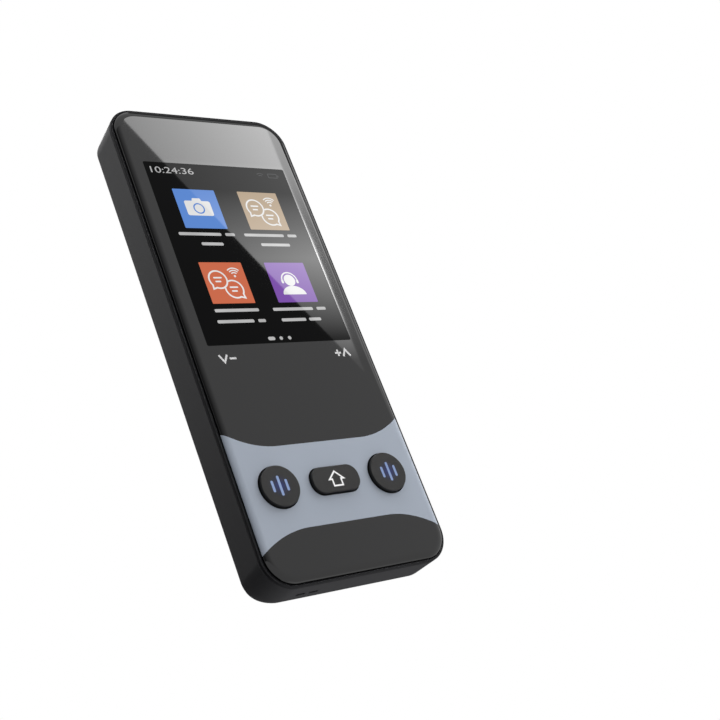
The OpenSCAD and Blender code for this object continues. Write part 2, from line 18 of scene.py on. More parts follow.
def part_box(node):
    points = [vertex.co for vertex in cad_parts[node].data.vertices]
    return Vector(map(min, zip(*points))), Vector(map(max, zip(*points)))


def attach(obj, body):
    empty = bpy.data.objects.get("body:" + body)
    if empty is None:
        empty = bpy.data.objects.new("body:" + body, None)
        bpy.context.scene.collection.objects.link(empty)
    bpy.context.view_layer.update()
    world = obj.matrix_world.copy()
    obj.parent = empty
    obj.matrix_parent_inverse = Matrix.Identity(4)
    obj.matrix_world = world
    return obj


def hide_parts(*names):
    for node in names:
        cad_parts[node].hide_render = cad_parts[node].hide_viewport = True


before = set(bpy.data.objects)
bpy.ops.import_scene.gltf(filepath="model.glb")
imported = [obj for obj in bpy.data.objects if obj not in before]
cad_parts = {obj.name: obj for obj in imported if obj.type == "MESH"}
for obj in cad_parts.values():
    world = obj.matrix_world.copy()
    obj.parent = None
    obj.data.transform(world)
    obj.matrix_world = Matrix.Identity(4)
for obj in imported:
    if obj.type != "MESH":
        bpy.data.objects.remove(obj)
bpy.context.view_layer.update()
MM = 0.001
WHITE = (1.0, 1.0, 1.0, 1.0)
UPRIGHT = math.pi / 2
log = logging.getLogger("translator")

Point = tuple[float, float]
Place = tuple[float, float, float]
# Width, height and corner radius.
Size = tuple[float, float, float]
Outline = list[Point]
# Each plate is an outer outline, followed by the outlines of its holes.
Plates = list[list[Outline]]
Ring = list[Vector]
Object = bpy.types.Object
Socket = bpy.types.NodeSocket
Tree = bpy.types.NodeTree


# ---- Flat outlines ----

def arc(centre: Point, radius: float, start: float, end: float, steps: int) -> Outline:
    """Points along an arc.

    Args:
        centre: Middle of the arc.
        radius: Radius of the arc.
        start: First angle, in degrees.
        end: Last angle, in degrees.
        steps: Number of stretches between points.

    Returns:
        The points, both ends included.
    """
    angles = [math.radians(start + (end - start) * i / steps) for i in range(steps + 1)]
    return [(centre[0] + radius * math.cos(a), centre[1] + radius * math.sin(a)) for a in angles]


def circle(radius: float, centre: Point = (0.0, 0.0), steps: int = 96) -> Outline:
    """Closed circle, without a doubled last point."""
    return arc(centre, radius, 0.0, 360.0, steps)[:-1]


def rounded(size: Size, centre: Point = (0.0, 0.0), steps: int = 20, grow: float = 0.0) -> Outline:
    """Rectangle with true arcs at its corners.

    Args:
        size: Its width, its height and the radius of its corners.
        centre: Middle of the rectangle.
        steps: Number of stretches in each corner.
        grow: How far every side is moved out.

    Returns:
        The outline's points, anticlockwise.
    """
    width, height, radius = size
    points: Outline = []
    for quarter, (sx, sz) in enumerate(((1, 1), (-1, 1), (-1, -1), (1, -1))):
        middle = (centre[0] + sx * (width / 2 - radius), centre[1] + sz * (height / 2 - radius))
        points += arc(middle, radius + grow, quarter * 90.0, quarter * 90.0 + 90.0, steps)
    return points


def quarter_turn(steps: int) -> list[float]:
    """Angles from 0 to a right angle, in radians."""
    return [math.pi / 2 * i / steps for i in range(steps + 1)]


def height_along(line: Sequence[Point], x: float) -> float:
    """Height of a line at one place.

    Args:
        line: Points of the line, in order of x.
        x: The place.

    Returns:
        The height there, or the last point's height beyond the line.
    """
    for (x0, z0), (x1, z1) in zip(line, line[1:]):
        if x <= x1:
            return z0 + (z1 - z0) * (x - x0) / (x1 - x0)
    return line[-1][1]


def offset_sides(path: Outline, width: float, closed: bool) -> tuple[Outline, Outline]:
    """The two sides of a line of even width, with mitred bends.

    Args:
        path: Points along the middle of the line.
        width: Its width.
        closed: Whether the last point joins the first.

    Returns:
        The left side and the right side, point by point.
    """
    ends = path[1:] + path[:1] if closed else path[1:]
    normals = []
    for start, end in zip(path, ends):
        length = math.dist(start, end)
        normals.append(((start[1] - end[1]) / length, (end[0] - start[0]) / length))
    left: Outline = []
    right: Outline = []
    for i, (x, z) in enumerate(path):
        before = normals[i - 1] if closed or i else normals[0]
        after = normals[min(i, len(normals) - 1)]
        nx, nz = before[0] + after[0], before[1] + after[1]
        scale = width / (nx * nx + nz * nz)
        left.append((x + nx * scale, z + nz * scale))
        right.append((x - nx * scale, z - nz * scale))
    return left, right


def stroke(path: Outline, width: float) -> list[Outline]:
    """Outline of an open line of even width, with square ends."""
    left, right = offset_sides(path, width, False)
    return [left + right[::-1]]


def closed_stroke(path: Outline, width: float) -> list[Outline]:
    """Outer and inner outline of a closed line of even width, for an anticlockwise path."""
    inner, outer = offset_sides(path, width, True)
    return [outer, inner]


def corner_curve(before: Sequence[float], corner: Sequence[float], after: Sequence[float],
                 reach: float, steps: int = 5) -> list[tuple[float, ...]]:
    """Rounds one corner of a section.

    Args:
        before: The section's point before the corner.
        corner: The corner itself.
        after: The section's point after it.
        reach: How far along each side the round starts.
        steps: Number of stretches in the round.

    Returns:
        Points that replace the corner.
    """
    size = len(corner)

    def towards(other: Sequence[float]) -> list[float]:
        """The point at which the round starts, on the way to another point."""
        length = math.dist(other[:2], corner[:2])
        return [corner[k] + (other[k] - corner[k]) * reach / length for k in range(size)]

    first, last = towards(before), towards(after)
    curve = []
    for i in range(steps + 1):
        t = i / steps
        curve.append(tuple((1 - t) ** 2 * first[k] + 2 * t * (1 - t) * corner[k] + t * t * last[k]
                           for k in range(size)))
    return curve


class Plane(Enum):
    """Which way an outline faces."""

    FRONT = "outline across X and Z, depth along Y"
    SIDE = "outline across Y and Z, depth along X"
    END = "outline across X and Y, depth along Z"

    def place(self, point: Point, depth: float) -> Vector:
        """The point of space that a point of an outline stands for, at a depth."""
        a, b = point
        if self is Plane.FRONT:
            return Vector((a, depth, b))
        return Vector((depth, a, b) if self is Plane.SIDE else (a, b, depth))

    def ring(self, outline: Outline, depth: float) -> Ring:
        """A whole outline at one depth."""
        return [self.place(point, depth) for point in outline]


# ---- Meshes ----

def add_object(name: str, data: bpy.types.ID) -> Object:
    """Puts data into the scene as an object."""
    made = bpy.data.objects.new(name, data)
    bpy.context.scene.collection.objects.link(made)
    return made


def edit_mesh(data: bpy.types.Mesh, change: Callable[[bmesh.types.BMesh], object]) -> None:
    """Changes a mesh in place.

    Args:
        data: The mesh.
        change: What is done to it.
    """
    mesh = bmesh.new()
    mesh.from_mesh(data)
    change(mesh)
    mesh.to_mesh(data)
    mesh.free()


def evaluated(piece: Object) -> bpy.types.Mesh:
    """A new plain mesh of a piece, with its modifiers applied."""
    graph = bpy.context.evaluated_depsgraph_get()
    graph.update()
    return bpy.data.meshes.new_from_object(piece.evaluated_get(graph))


def settle(piece: Object) -> None:
    """Applies every modifier of a piece, and leaves it with a plain mesh."""
    settled = evaluated(piece)
    piece.modifiers.clear()
    piece.data = settled


class Shape:
    """A mesh while it is being made, in millimetres."""

    def __init__(self) -> None:
        """Starts an empty mesh."""
        self.mesh = bmesh.new()

    def loft(self, rings: Sequence[Ring], capped: bool = True) -> "Shape":
        """Skins a row of rings that have the same number of points.

        Args:
            rings: The rings, in order.
            capped: Whether the first and last ring are closed off; if not, they are joined.

        Returns:
            This shape.
        """
        rows = [[self.mesh.verts.new(point) for point in ring] for ring in rings]
        pairs = list(zip(rows, rows[1:])) + ([] if capped else [(rows[-1], rows[0])])
        for lower, upper in pairs:
            for i in range(len(lower)):
                self.mesh.faces.new((lower[i - 1], lower[i], upper[i], upper[i - 1]))
        if capped:
            self.mesh.faces.new(rows[0])
            self.mesh.faces.new(rows[-1])
        return self

    def swell(self, plane: Plane, outline: Callable[[float], Outline], section: Sequence[Point],
              capped: bool = True) -> "Shape":
        """Skins an outline that changes with its depth.

        Args:
            plane: Which way the outline faces.
            outline: Gives the outline for a growth or a radius.
            section: Depths, each with the growth or the radius there.
            capped: Whether the first and last outline are closed off; if not, they are joined.

        Returns:
            This shape.
        """
        return self.loft([plane.ring(outline(grow), depth) for depth, grow in section], capped)

    def plate(self, plane: Plane, loops: Sequence[Outline], near: float, far: float) -> "Shape":
        """Adds a flat plate between two depths.

        Args:
            plane: Which way the plate faces.
            loops: Its outer outline, then the outlines of its holes.
            near: Depth of one face.
            far: Depth of the other face.

        Returns:
            This shape.
        """
        edges = []
        for loop in loops:
            verts = [self.mesh.verts.new(plane.place(point, near)) for point in loop]
            edges += [self.mesh.edges.new((verts[i - 1], verts[i])) for i in range(len(verts))]
        filled = bmesh.ops.triangle_fill(self.mesh, use_beauty=True, edges=edges)
        faces = [item for item in filled["geom"] if isinstance(item, bmesh.types.BMFace)]
        raised = bmesh.ops.extrude_face_region(self.mesh, geom=faces)
        moved = [item for item in raised["geom"] if isinstance(item, bmesh.types.BMVert)]
        bmesh.ops.translate(self.mesh, verts=moved, vec=plane.place((0.0, 0.0), far - near))
        return self

    def object(self, name: str) -> Object:
        """Turns the shape into an object, in metres and with its faces outwards.

        Args:
            name: The object's name.

        Returns:
            The object.
        """
        bmesh.ops.recalc_face_normals(self.mesh, faces=self.mesh.faces)
        self.mesh.transform(Matrix.Scale(MM, 4))
        data = bpy.data.meshes.new(name)
        self.mesh.to_mesh(data)
        self.mesh.free()
        return add_object(name, data)


def turned(name: str, section: Sequence[Point], centre: Point, steps: int,
           capped: bool = True) -> Object:
    """Turns a section of (depth, radius) about an axis along Y."""
    return Shape().swell(Plane.FRONT, lambda r: circle(r, centre, steps), section,
                         capped).object(name)


def flat(name: str, plates: Plates, near: float, far: float,
         plane: Plane = Plane.FRONT) -> Object:
    """One object out of flat plates.

    Args:
        name: The object's name.
        plates: The plates' outlines.
        near: Depth of one face.
        far: Depth of the other face.
        plane: Which way the plates face.

    Returns:
        The object.
    """
    shape = Shape()
    for loops in plates:
        shape.plate(plane, loops, near, far)
    return shape.object(name)


class Join(Enum):
    """How one solid meets another."""

    CUT = "DIFFERENCE"
    ADD = "UNION"
    KEEP_COMMON = "INTERSECT"


def join(solid: Object, tool: Object, how: Join) -> Object:
    """Cuts, adds or intersects a solid with a tool, which is used up.

    Args:
        solid: The solid that is kept.
        tool: The solid that shapes it.
        how: The operation.

    Returns:
        The solid.
    """
    modifier = solid.modifiers.new("join", "BOOLEAN")
    modifier.operation = how.value
    modifier.solver = "MANIFOLD"
    modifier.object = tool
    settle(solid)
    bpy.data.objects.remove(tool)
    return solid


def smooth(piece: Object, crease_degrees: float = 28.0) -> Object:
    """Shades a piece smooth, apart from its creases, with flat faces kept flat.

    Args:
        piece: The piece.
        crease_degrees: The bend from which an edge stays sharp.

    Returns:
        The piece.
    """
    piece.data.shade_smooth()
    piece.data.set_sharp_from_angle(angle=math.radians(crease_degrees))
    weighted = piece.modifiers.new("weighted", "WEIGHTED_NORMAL")
    weighted.keep_sharp = True
    weighted.weight = 100
    settle(piece)
    return piece


# ---- Node trees ----

def add_node(tree: Tree, kind: str, inputs: dict | None = None,
             **settings: object) -> bpy.types.Node:
    """Adds a node to a tree.

    Args:
        tree: The tree.
        kind: The node's type.
        inputs: Values, or the sockets to link, by the name or number of the input.
        **settings: The node's own properties.

    Returns:
        The node.
    """
    node = tree.nodes.new(kind)
    for name, value in settings.items():
        setattr(node, name, value)
    for name, value in (inputs or {}).items():
        if isinstance(value, Socket):
            tree.links.new(value, node.inputs[name])
        else:
            node.inputs[name].default_value = value
    return node


def empty_tree(owner: bpy.types.Material | bpy.types.World) -> Tree:
    """Gives a material or a world an empty tree."""
    owner.use_nodes = True
    owner.node_tree.nodes.clear()
    return owner.node_tree


def round_halo(tree: Tree, place: Socket, reach: Sequence[float],
               centre: Sequence[float] = (0.0, 0.0, 0.0)) -> Socket:
    """Value that fades from 1 in the middle of an ellipsoid to 0 at its skin.

    Args:
        tree: The tree to add to.
        place: The place that is being shaded.
        reach: The ellipsoid's reach along X, Y and Z.
        centre: Its middle.

    Returns:
        A socket that gives the value.
    """
    near = add_node(tree, "ShaderNodeMapping", {
        "Vector": place, "Scale": [1 / (along * MM) for along in reach],
        "Location": [0.0 - at / along for at, along in zip(centre, reach)]})
    return add_node(tree, "ShaderNodeTexGradient", {"Vector": near.outputs["Vector"]},
                    gradient_type="QUADRATIC_SPHERE").outputs["Fac"]


def wave_scale(spacing: float) -> float:
    """Scale of a wave pattern whose ridges stand at a real spacing."""
    return 2 * math.pi / (20 * spacing * MM)


def linear(colour: str, alpha: float = 1.0) -> tuple[float, float, float, float]:
    """The linear value of an sRGB hex colour."""
    parts = [int(colour[i:i + 2], 16) / 255 for i in (1, 3, 5)]
    red, green, blue = (c / 12.92 if c <= 0.04045 else ((c + 0.055) / 1.055) ** 2.4 for c in parts)
    return red, green, blue, alpha


class Surface:
    """A material while it is being made."""

    def __init__(self, name: str, **sockets: object) -> None:
        """Starts a material.

        Args:
            name: The material's name.
            **sockets: Values of the principled shader, with underscores for spaces.
        """
        self.material = bpy.data.materials.new(name)
        self.tree = empty_tree(self.material)
        values = {key.replace("_", " "): value for key, value in sockets.items()}
        self.shader = add_node(self.tree, "ShaderNodeBsdfPrincipled", values)
        add_node(self.tree, "ShaderNodeOutputMaterial", {"Surface": self.shader.outputs["BSDF"]})
        self.place = add_node(self.tree, "ShaderNodeTexCoord").outputs["Object"]

    def grain(self, size: float, detail: float = 2.0,
              drawn_out: Sequence[float] = (1.0, 1.0, 1.0)) -> Socket:
        """Irregular pattern.

        Args:
            size: Size of one grain.
            detail: How much finer grain there is in it.
            drawn_out: Scale along X, Y and Z; below 1 draws the grain out.

        Returns:
            A socket from 0 to 1.
        """
        mapped = add_node(self.tree, "ShaderNodeMapping",
                          {"Vector": self.place, "Scale": drawn_out})
        return add_node(self.tree, "ShaderNodeTexNoise", {
            "Vector": mapped.outputs["Vector"], "Scale": 1 / (size * MM),
            "Detail": detail}).outputs["Fac"]

    def lead(self, value: Socket, socket: str) -> "Surface":
        """Lets one value of the principled shader take what a socket gives."""
        self.tree.links.new(value, self.shader.inputs[socket])
        return self

    def follow(self, pattern: Socket, low: float, high: float, socket: str) -> "Surface":
        """Lets one value of the principled shader run between two numbers with a pattern."""
        between = add_node(self.tree, "ShaderNodeMapRange",
                           {"Value": pattern, "To Min": low, "To Max": high})
        return self.lead(between.outputs["Result"], socket)

    def paint(self, pattern: Socket, dark: str, light: str,
              socket: str = "Base Color") -> "Surface":
        """Colours the surface between two tones."""
        inputs = {"Factor": pattern, 6: linear(dark), 7: linear(light)}
        mixed = add_node(self.tree, "ShaderNodeMix", inputs, data_type="RGBA")
        return self.lead(mixed.outputs[2], socket)

    def polish(self, pattern: Socket, low: float, high: float) -> "Surface":
        """Lets the roughness follow a pattern."""
        return self.follow(pattern, low, high, "Roughness")

    def relief(self, pattern: Socket, height: float) -> "Surface":
        """Raises the surface with a pattern, by a real height."""
        inputs = {"Height": pattern, "Distance": height * MM}
        return self.lead(add_node(self.tree, "ShaderNodeBump", inputs).outputs["Normal"], "Normal")


# ---- Finishes ----

KEY_TONES = ("#151414", "#191818")
KEY_SHINE = (0.34, 0.44)
KEY_SPECULAR = 0.36
PLASTIC_IOR = 1.49


@dataclass(frozen=True)
class Finish:
    """Common ground of the finishes: each makes its material once."""

    name: str

    def material(self) -> bpy.types.Material:
        """The finish as a material."""
        return bpy.data.materials.get(self.name) or self.make().material

    def make(self) -> Surface:
        """Builds the material."""
        raise NotImplementedError


@dataclass(frozen=True)
class MouldedPlastic(Finish):
    """Plastic from an eroded mould: even colour, fine matt grain that breaks up the shine."""

    dark: str = "#26262a"
    light: str = "#2b2b2f"
    low_shine: float = 0.46
    high_shine: float = 0.56
    # The real texture is about 0.05 mm, too fine to show, so it is drawn coarser.
    grain_size: float = 0.22
    grain_height: float = 0.006
    specular: float = 0.4

    def make(self) -> Surface:
        """Builds the material."""
        surface = Surface(self.name, Specular_IOR_Level=self.specular, IOR=PLASTIC_IOR)
        grain = surface.grain(self.grain_size)
        surface.paint(surface.grain(9.0), self.dark, self.light)
        surface.polish(grain, self.low_shine, self.high_shine)
        return surface.relief(grain, self.grain_height)


@dataclass(frozen=True)
class BacklitKey(Finish):
    """Satin key plastic with light that leaks round the marks in its middle."""

    centre: Vector
    glow: str = "#2644b8"
    shade: str = "#020308"
    spread: Place = (3.1, 2.0, 2.9)
    strength: float = 0.3

    def make(self) -> Surface:
        """Builds the material."""
        surface = Surface(self.name, Specular_IOR_Level=KEY_SPECULAR, IOR=PLASTIC_IOR,
                          Emission_Color=linear(self.glow))
        grain = surface.grain(0.2)
        surface.polish(grain, *KEY_SHINE).relief(grain, 0.003)
        halo = round_halo(surface.tree, surface.place, self.spread, self.centre)
        dark, light = map(linear, KEY_TONES)
        tone = add_node(surface.tree, "ShaderNodeMix", {
            "Factor": surface.grain(4.0), 6: dark, 7: light}, data_type="RGBA")
        # The bright marks make the plastic round them look darker than it is.
        near = add_node(surface.tree, "ShaderNodeMapRange", {"Value": halo, "To Max": 1.6})
        shaded = add_node(surface.tree, "ShaderNodeMix", {
            "Factor": near.outputs["Result"], 6: tone.outputs[2], 7: linear(self.shade)},
            data_type="RGBA")
        surface.lead(shaded.outputs[2], "Base Color")
        return surface.follow(halo, 0.0, self.strength, "Emission Strength")


@dataclass(frozen=True)
class BackPrintedGlass(Finish):
    """Float glass printed on its back face: deep even tone under a hard mirror gloss."""

    dark: str = "#08080a"
    light: str = "#0b0b0d"
    specular: float = 0.5
    shine: float = 0.012

    def make(self) -> Surface:
        """Builds the material."""
        surface = Surface(self.name, Specular_IOR_Level=self.specular, IOR=1.5)
        surface.paint(surface.grain(14.0), self.dark, self.light)
        # Hands leave a faint haze, a little wider than a fingertip's ridges.
        return surface.polish(surface.grain(6.0, detail=4.0), self.shine, self.shine + 0.02)


@dataclass(frozen=True)
class LitPixels(Finish):
    """Part of a lit display under its coated cover: it glows evenly and hardly mirrors."""

    dark: str
    light: str
    glow: float = 1.0
    specular: float = 0.05

    def make(self) -> Surface:
        """Builds the material."""
        surface = Surface(self.name, Base_Color=linear("#000000"), Roughness=0.02,
                          Specular_IOR_Level=self.specular, Emission_Strength=self.glow)
        return surface.paint(surface.grain(5.0, detail=0.0), self.dark, self.light,
                             "Emission Color")


@dataclass(frozen=True)
class Metal(Finish):
    """Bare or anodised metal, whose tone, shine and relief follow one grain."""

    dark: str
    light: str
    low_shine: float
    high_shine: float
    grain_size: float = 0.12
    detail: float = 2.0
    # Below 1 it draws the grain out into rolling lines.
    along_z: float = 0.04
    grain_height: float = 0.002
    metallic: float = 1.0

    def make(self) -> Surface:
        """Builds the material."""
        surface = Surface(self.name, Metallic=self.metallic)
        grain = surface.grain(self.grain_size, self.detail, (1.0, 1.0, self.along_z))
        surface.paint(grain, self.dark, self.light)
        surface.polish(grain, self.low_shine, self.high_shine)
        return surface.relief(grain, self.grain_height)


@dataclass(frozen=True)
class TurnedBlack(Finish):
    """Black anodised barrel with fine turned baffles, which swallow stray light."""

    centre: Vector

    def make(self) -> Surface:
        """Builds the material."""
        surface = Surface(self.name, Metallic=0.4, Specular_IOR_Level=0.4)
        place = add_node(surface.tree, "ShaderNodeMapping", {
            "Vector": surface.place, "Location": [-c * MM for c in self.centre]})
        marks = add_node(surface.tree, "ShaderNodeTexWave", {
            "Vector": place.outputs["Vector"], "Scale": wave_scale(0.3)}, wave_type="RINGS",
            rings_direction="Y").outputs["Fac"]
        surface.paint(marks, "#0b0b0d", "#1c1c20").polish(marks, 0.3, 0.45)
        return surface.relief(marks, 0.02)


@dataclass(frozen=True)
class CoatedLens(Finish):
    """Polished crown glass with a purple-blue coating over a dark barrel."""

    def make(self) -> Surface:
        """Builds the material."""
        surface = Surface(self.name, Roughness=0.03, Coat_Weight=1.0, Coat_Roughness=0.02,
                          Coat_Tint=linear("#8f9dff"), Specular_IOR_Level=0.9)
        return surface.paint(surface.grain(1.2), "#0a0d1c", "#1b2444")


@dataclass(frozen=True)
class ClearCover(Finish):
    """Thin clear glass, polished flat: only its shine shows."""

    def make(self) -> Surface:
        """Builds the material."""
        surface = Surface(self.name, Transmission_Weight=1.0, IOR=1.2)
        surface.paint(surface.grain(3.0), "#e6ebf2", "#f4f6fa")
        return surface.polish(surface.grain(2.0), 0.0, 0.02)


@dataclass(frozen=True)
class SolderMask(Finish):
    """Glass-epoxy board under green solder mask: copper tracks show as a slight relief."""

    def make(self) -> Surface:
        """Builds the material."""
        surface = Surface(self.name, Specular_IOR_Level=0.5)
        upright = add_node(surface.tree, "ShaderNodeMapping", {
            "Vector": surface.place, "Rotation": (UPRIGHT, 0.0, 0.0)})
        tracks = add_node(surface.tree, "ShaderNodeTexBrick", {
            "Vector": upright.outputs["Vector"], "Scale": 1 / (3.0 * MM),
            "Mortar Size": 0.06}).outputs["Fac"]
        surface.paint(tracks, "#0e4a2a", "#2f7a45").polish(surface.grain(0.8), 0.3, 0.45)
        return surface.relief(tracks, 0.03)


@dataclass(frozen=True)
class CopperFlex(Finish):
    """Polyimide film over copper tracks: amber, with straight lines that shine through."""

    def make(self) -> Surface:
        """Builds the material."""
        surface = Surface(self.name, Specular_IOR_Level=0.5)
        tracks = add_node(surface.tree, "ShaderNodeTexWave", {
            "Vector": surface.place, "Scale": wave_scale(0.5)}).outputs["Fac"]
        surface.paint(tracks, "#8a4a12", "#c9812c").polish(surface.grain(1.0), 0.25, 0.4)
        return surface.relief(tracks, 0.01)


@dataclass(frozen=True)
class CellularPad(Finish):
    """Foam or foam tape: closed cells, no shine."""

    dark: str = "#0b0b0c"
    light: str = "#1d1d1f"

    def make(self) -> Surface:
        """Builds the material."""
        surface = Surface(self.name, Roughness=0.9, Specular_IOR_Level=0.2)
        cells = add_node(surface.tree, "ShaderNodeTexVoronoi", {
            "Vector": surface.place, "Scale": 1 / (0.3 * MM)},
            feature="DISTANCE_TO_EDGE").outputs["Distance"]
        return surface.paint(cells, self.dark, self.light).relief(cells, 0.05)


@dataclass(frozen=True)
class WovenMesh(Finish):
    """Acoustic mesh: black monofilament in plain weave, open between the threads."""

    def make(self) -> Surface:
        """Builds the material."""
        surface = Surface(self.name, Roughness=0.6, Specular_IOR_Level=0.35)
        # The real pitch is about 0.08 mm, so the weave is drawn three times as coarse.
        inputs = {"Vector": surface.place, "Scale": wave_scale(0.25)}
        across, along = (add_node(surface.tree, "ShaderNodeTexWave", inputs,
                                  bands_direction=way).outputs["Fac"] for way in "XZ")
        weave = add_node(surface.tree, "ShaderNodeMath", {0: across, 1: along},
                         operation="MAXIMUM").outputs[0]
        return surface.paint(weave, "#040405", "#1a1a1d").relief(weave, 0.04)


# ABS and polycarbonate blend with a soft-touch lacquer: a dull charcoal with wide highlights.
SOFT_TOUCH_CASE = MouldedPlastic("abs_soft_touch_case")
# The same blend, duller, for the frame round the glass; its colour is darker than the case's as
# painted shade on the rim.
FRAME_PLASTIC_PAINTED_SHADE = MouldedPlastic("abs_matt_frame_painted_shade", "#18181b", "#1b1b1e", 0.5, 0.6, 0.2, 0.005, 0.2)
# The same blend from a finer mould, with a thin lacquer: a little glossier than the case.
KEY_PLASTIC = MouldedPlastic("polycarbonate_key", *KEY_TONES, *KEY_SHINE, 0.2, 0.003, KEY_SPECULAR)
# Glass-filled nylon and liquid-crystal polymer, moulded: dead black.
FILLED_NYLON = MouldedPlastic("moulded_filled_nylon", "#101012", "#17171a", 0.5, 0.62)
# Natural nylon, moulded: waxy off-white.
NATURAL_NYLON = MouldedPlastic("moulded_natural_nylon", "#cfc8b4", "#ded8c6", 0.4, 0.5)
# Cast acrylic, dyed through: saturated red with a bright skin.
RED_ACRYLIC = MouldedPlastic("cast_red_acrylic", "#b3221d", "#c92e27", 0.16, 0.24, 0.6, 0.002, 0.5)
# Aluminosilicate glass with a black screen print behind it: deep black under a hard gloss.
FRONT_GLASS = BackPrintedGlass("black_printed_front_glass")
# The same glass over pearl blue-grey ink, whose flakes lift its tone a little in the light.
BAND_INK = BackPrintedGlass("pearl_grey_printed_glass", "#b5bfce", "#bbc5d4")
# White ink behind the glass: crisp marks under the same gloss.
MARK_INK = BackPrintedGlass("white_printed_glass", "#e9e9ea", "#f4f4f4")
# The thin window over the lens, screen-printed black round its clear middle.
CAMERA_COVER = BackPrintedGlass("black_printed_camera_cover", "#0a0a0c", "#0e0e11", 0.2, 0.05)
# Clear polycarbonate, moulded into the keys and lit from behind: even light.
LIT_BLUE = LitPixels("lit_blue_key_mark", "#8195c2", "#92a6cd", 0.95)
LIT_WHITE = LitPixels("lit_white_key_mark", "#ededed", "#ffffff", 0.95)
# Liquid-crystal cell, lit from behind: even light, hardly any shine.
DARK_PIXELS = LitPixels("dark_display_pixels", "#010101", "#020203")
WHITE_PIXELS = LitPixels("white_display_pixels", "#dadada", "#ececec")
GREY_PIXELS = LitPixels("grey_display_pixels", "#a9a9a9", "#c4c4c4")
# The status signs glow dim: painted shade over them.
DIM_PIXELS_PAINTED_SHADE = LitPixels("dim_display_pixels_painted_shade", "#3a3b3c", "#454647")
# Rolled and stamped sheet with a nickel plate: fine lines along the rolling direction.
STAMPED_STEEL = Metal("stamped_nickel_steel", "#8e9196", "#b4b7bb", 0.28, 0.42)
# Spring steel, etched: smooth and bright.
SPRING_STEEL = Metal("etched_spring_steel", "#a5a7ab", "#c3c5c8", 0.2, 0.3)
# Hard gold, plated over nickel: warm yellow with a soft shine.
GOLD_CONTACT = Metal("gold_plated_contact", "#c79a3a", "#e0b95a", 0.2, 0.3)
# Carbon steel, headed and blackened: an even dark grey sheen.
SCREW_STEEL = Metal("blackened_screw_steel", "#4b4d52", "#64666b", 0.3, 0.45, 0.3, along_z=1.0)
# Aluminium, bead-blasted and anodised: fine sparkle with a soft wide highlight.
TRIM_ALUMINIUM = Metal("blasted_anodised_aluminium", "#5a5b5f", "#6c6e72", 0.26, 0.38,
                       detail=1.0, along_z=1.0, grain_height=0.003)
# Laminated battery pouch: dull silver foil with shallow creases.
BATTERY_POUCH = Metal("laminated_pouch_foil", "#85898e", "#a6aaae", 0.34, 0.5, 7.0, 5.0, 1.0,
                      0.08, 0.85)
# Crown glass, ground and coated: a violet glint over black.
LENS_GLASS = CoatedLens("coated_crown_glass")
# Window glass, polished: clear, with a sharp shine.
CLEAR_GLASS = ClearCover("polished_clear_glass")
# Glass-epoxy laminate, screened with green lacquer: satin green over lighter tracks.
GREEN_BOARD = SolderMask("solder_masked_epoxy_glass")
# Polyimide film laminated over copper: glossy amber with fine stripes.
AMBER_FLEX = CopperFlex("polyimide_copper_flex")
# Foamed rubber, die-cut: dull black, softly pitted.
BLACK_FOAM = CellularPad("closed_cell_foam")
# Acrylic foam tape, die-cut: dull grey.
FOAM_TAPE = CellularPad("acrylic_foam_tape", "#24241f", "#3a3a33")
# Monofilament, woven: black with a faint even net.
ACOUSTIC_MESH = WovenMesh("woven_acoustic_mesh")


# ---- Sizes and steps shared by the pieces ----

@dataclass(frozen=True)
class BodySize:
    """Outer form of the body, and the depths and places that its pieces share."""

    width: float = 48.6
    height: float = 120.0
    corner: float = 7.0
    glass_y: float = -6.1
    panel_back_y: float = -5.1
    rim_y: float = -5.3
    parting_y: float = -4.5
    back_y: float = 6.1
    draft: float = 0.7
    chamfer: float = 1.4
    bevel: float = 0.12
    end_round: float = 4.0
    key_z: float = 21.3
    key_gap: float = 0.15
    talk_x: float = 14.45
    talk_r: float = 4.65
    home: Size = (12.4, 6.0, 2.7)
    # The corners of a stadium are a hair under its half width, so that no two points coincide.
    power: Size = (3.0, 10.2, 1.499)
    power_middle: Point = (-0.5, 99.8)
    power_x: float = 23.85
    camera: Point = (0.0, 106.7)
    camera_seat_y: float = 5.55

    def outline(self, side: float, top: float, bottom: float, rounding: float = 0.0) -> Outline:
        """The body's outline at one depth.

        Args:
            side: How far its sides have moved in.
            top: How far its top end has moved in.
            bottom: How far its bottom end has moved in.
            rounding: How much the rounding of the ends tightens its corners.

        Returns:
            The outline.
        """
        size = (self.width - 2 * side, self.height - top - bottom, self.corner - side - rounding)
        return rounded(size, (0.0, (self.height - top + bottom) / 2), 24)

    def rings(self, section: Sequence[Sequence[float]]) -> list[Ring]:
        """Rings of the body along a section of (depth, side, top, bottom, rounding if any)."""
        return [Plane.FRONT.ring(self.outline(*insets), y) for y, *insets in section]

    def even_rings(self, section: Sequence[Point]) -> list[Ring]:
        """Rings of the body along a section of (depth, inset of every side)."""
        return self.rings([(y, inset, inset, inset) for y, inset in section])

    def key_middles(self) -> list[Point]:
        """Middles of the left, the home and the right key."""
        return [(x, self.key_z) for x in (-self.talk_x, 0.0, self.talk_x)]

    def key_outlines(self, margin: float) -> list[Outline]:
        """Outlines of the three keys, grown by a margin."""
        left, middle, right = self.key_middles()
        return [circle(self.talk_r + margin, left), rounded(self.home, middle, grow=margin),
                circle(self.talk_r + margin, right)]


BODY = BodySize()


def hollow_of(node: str, block: Object) -> Object:
    """The air inside a construction node, as far as a block reaches.

    Args:
        node: The node.
        block: Solid that ends inside the node's walls; it is used up.

    Returns:
        A solid that cuts the same inside into a new piece.
    """
    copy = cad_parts[node].copy()
    copy.data = copy.data.copy()
    copy.parent = None
    bpy.context.scene.collection.objects.link(copy)
    edit_mesh(copy.data, lambda mesh: bmesh.ops.remove_doubles(
        mesh, verts=mesh.verts, dist=0.001 * MM))
    return join(block, copy, Join.CUT)


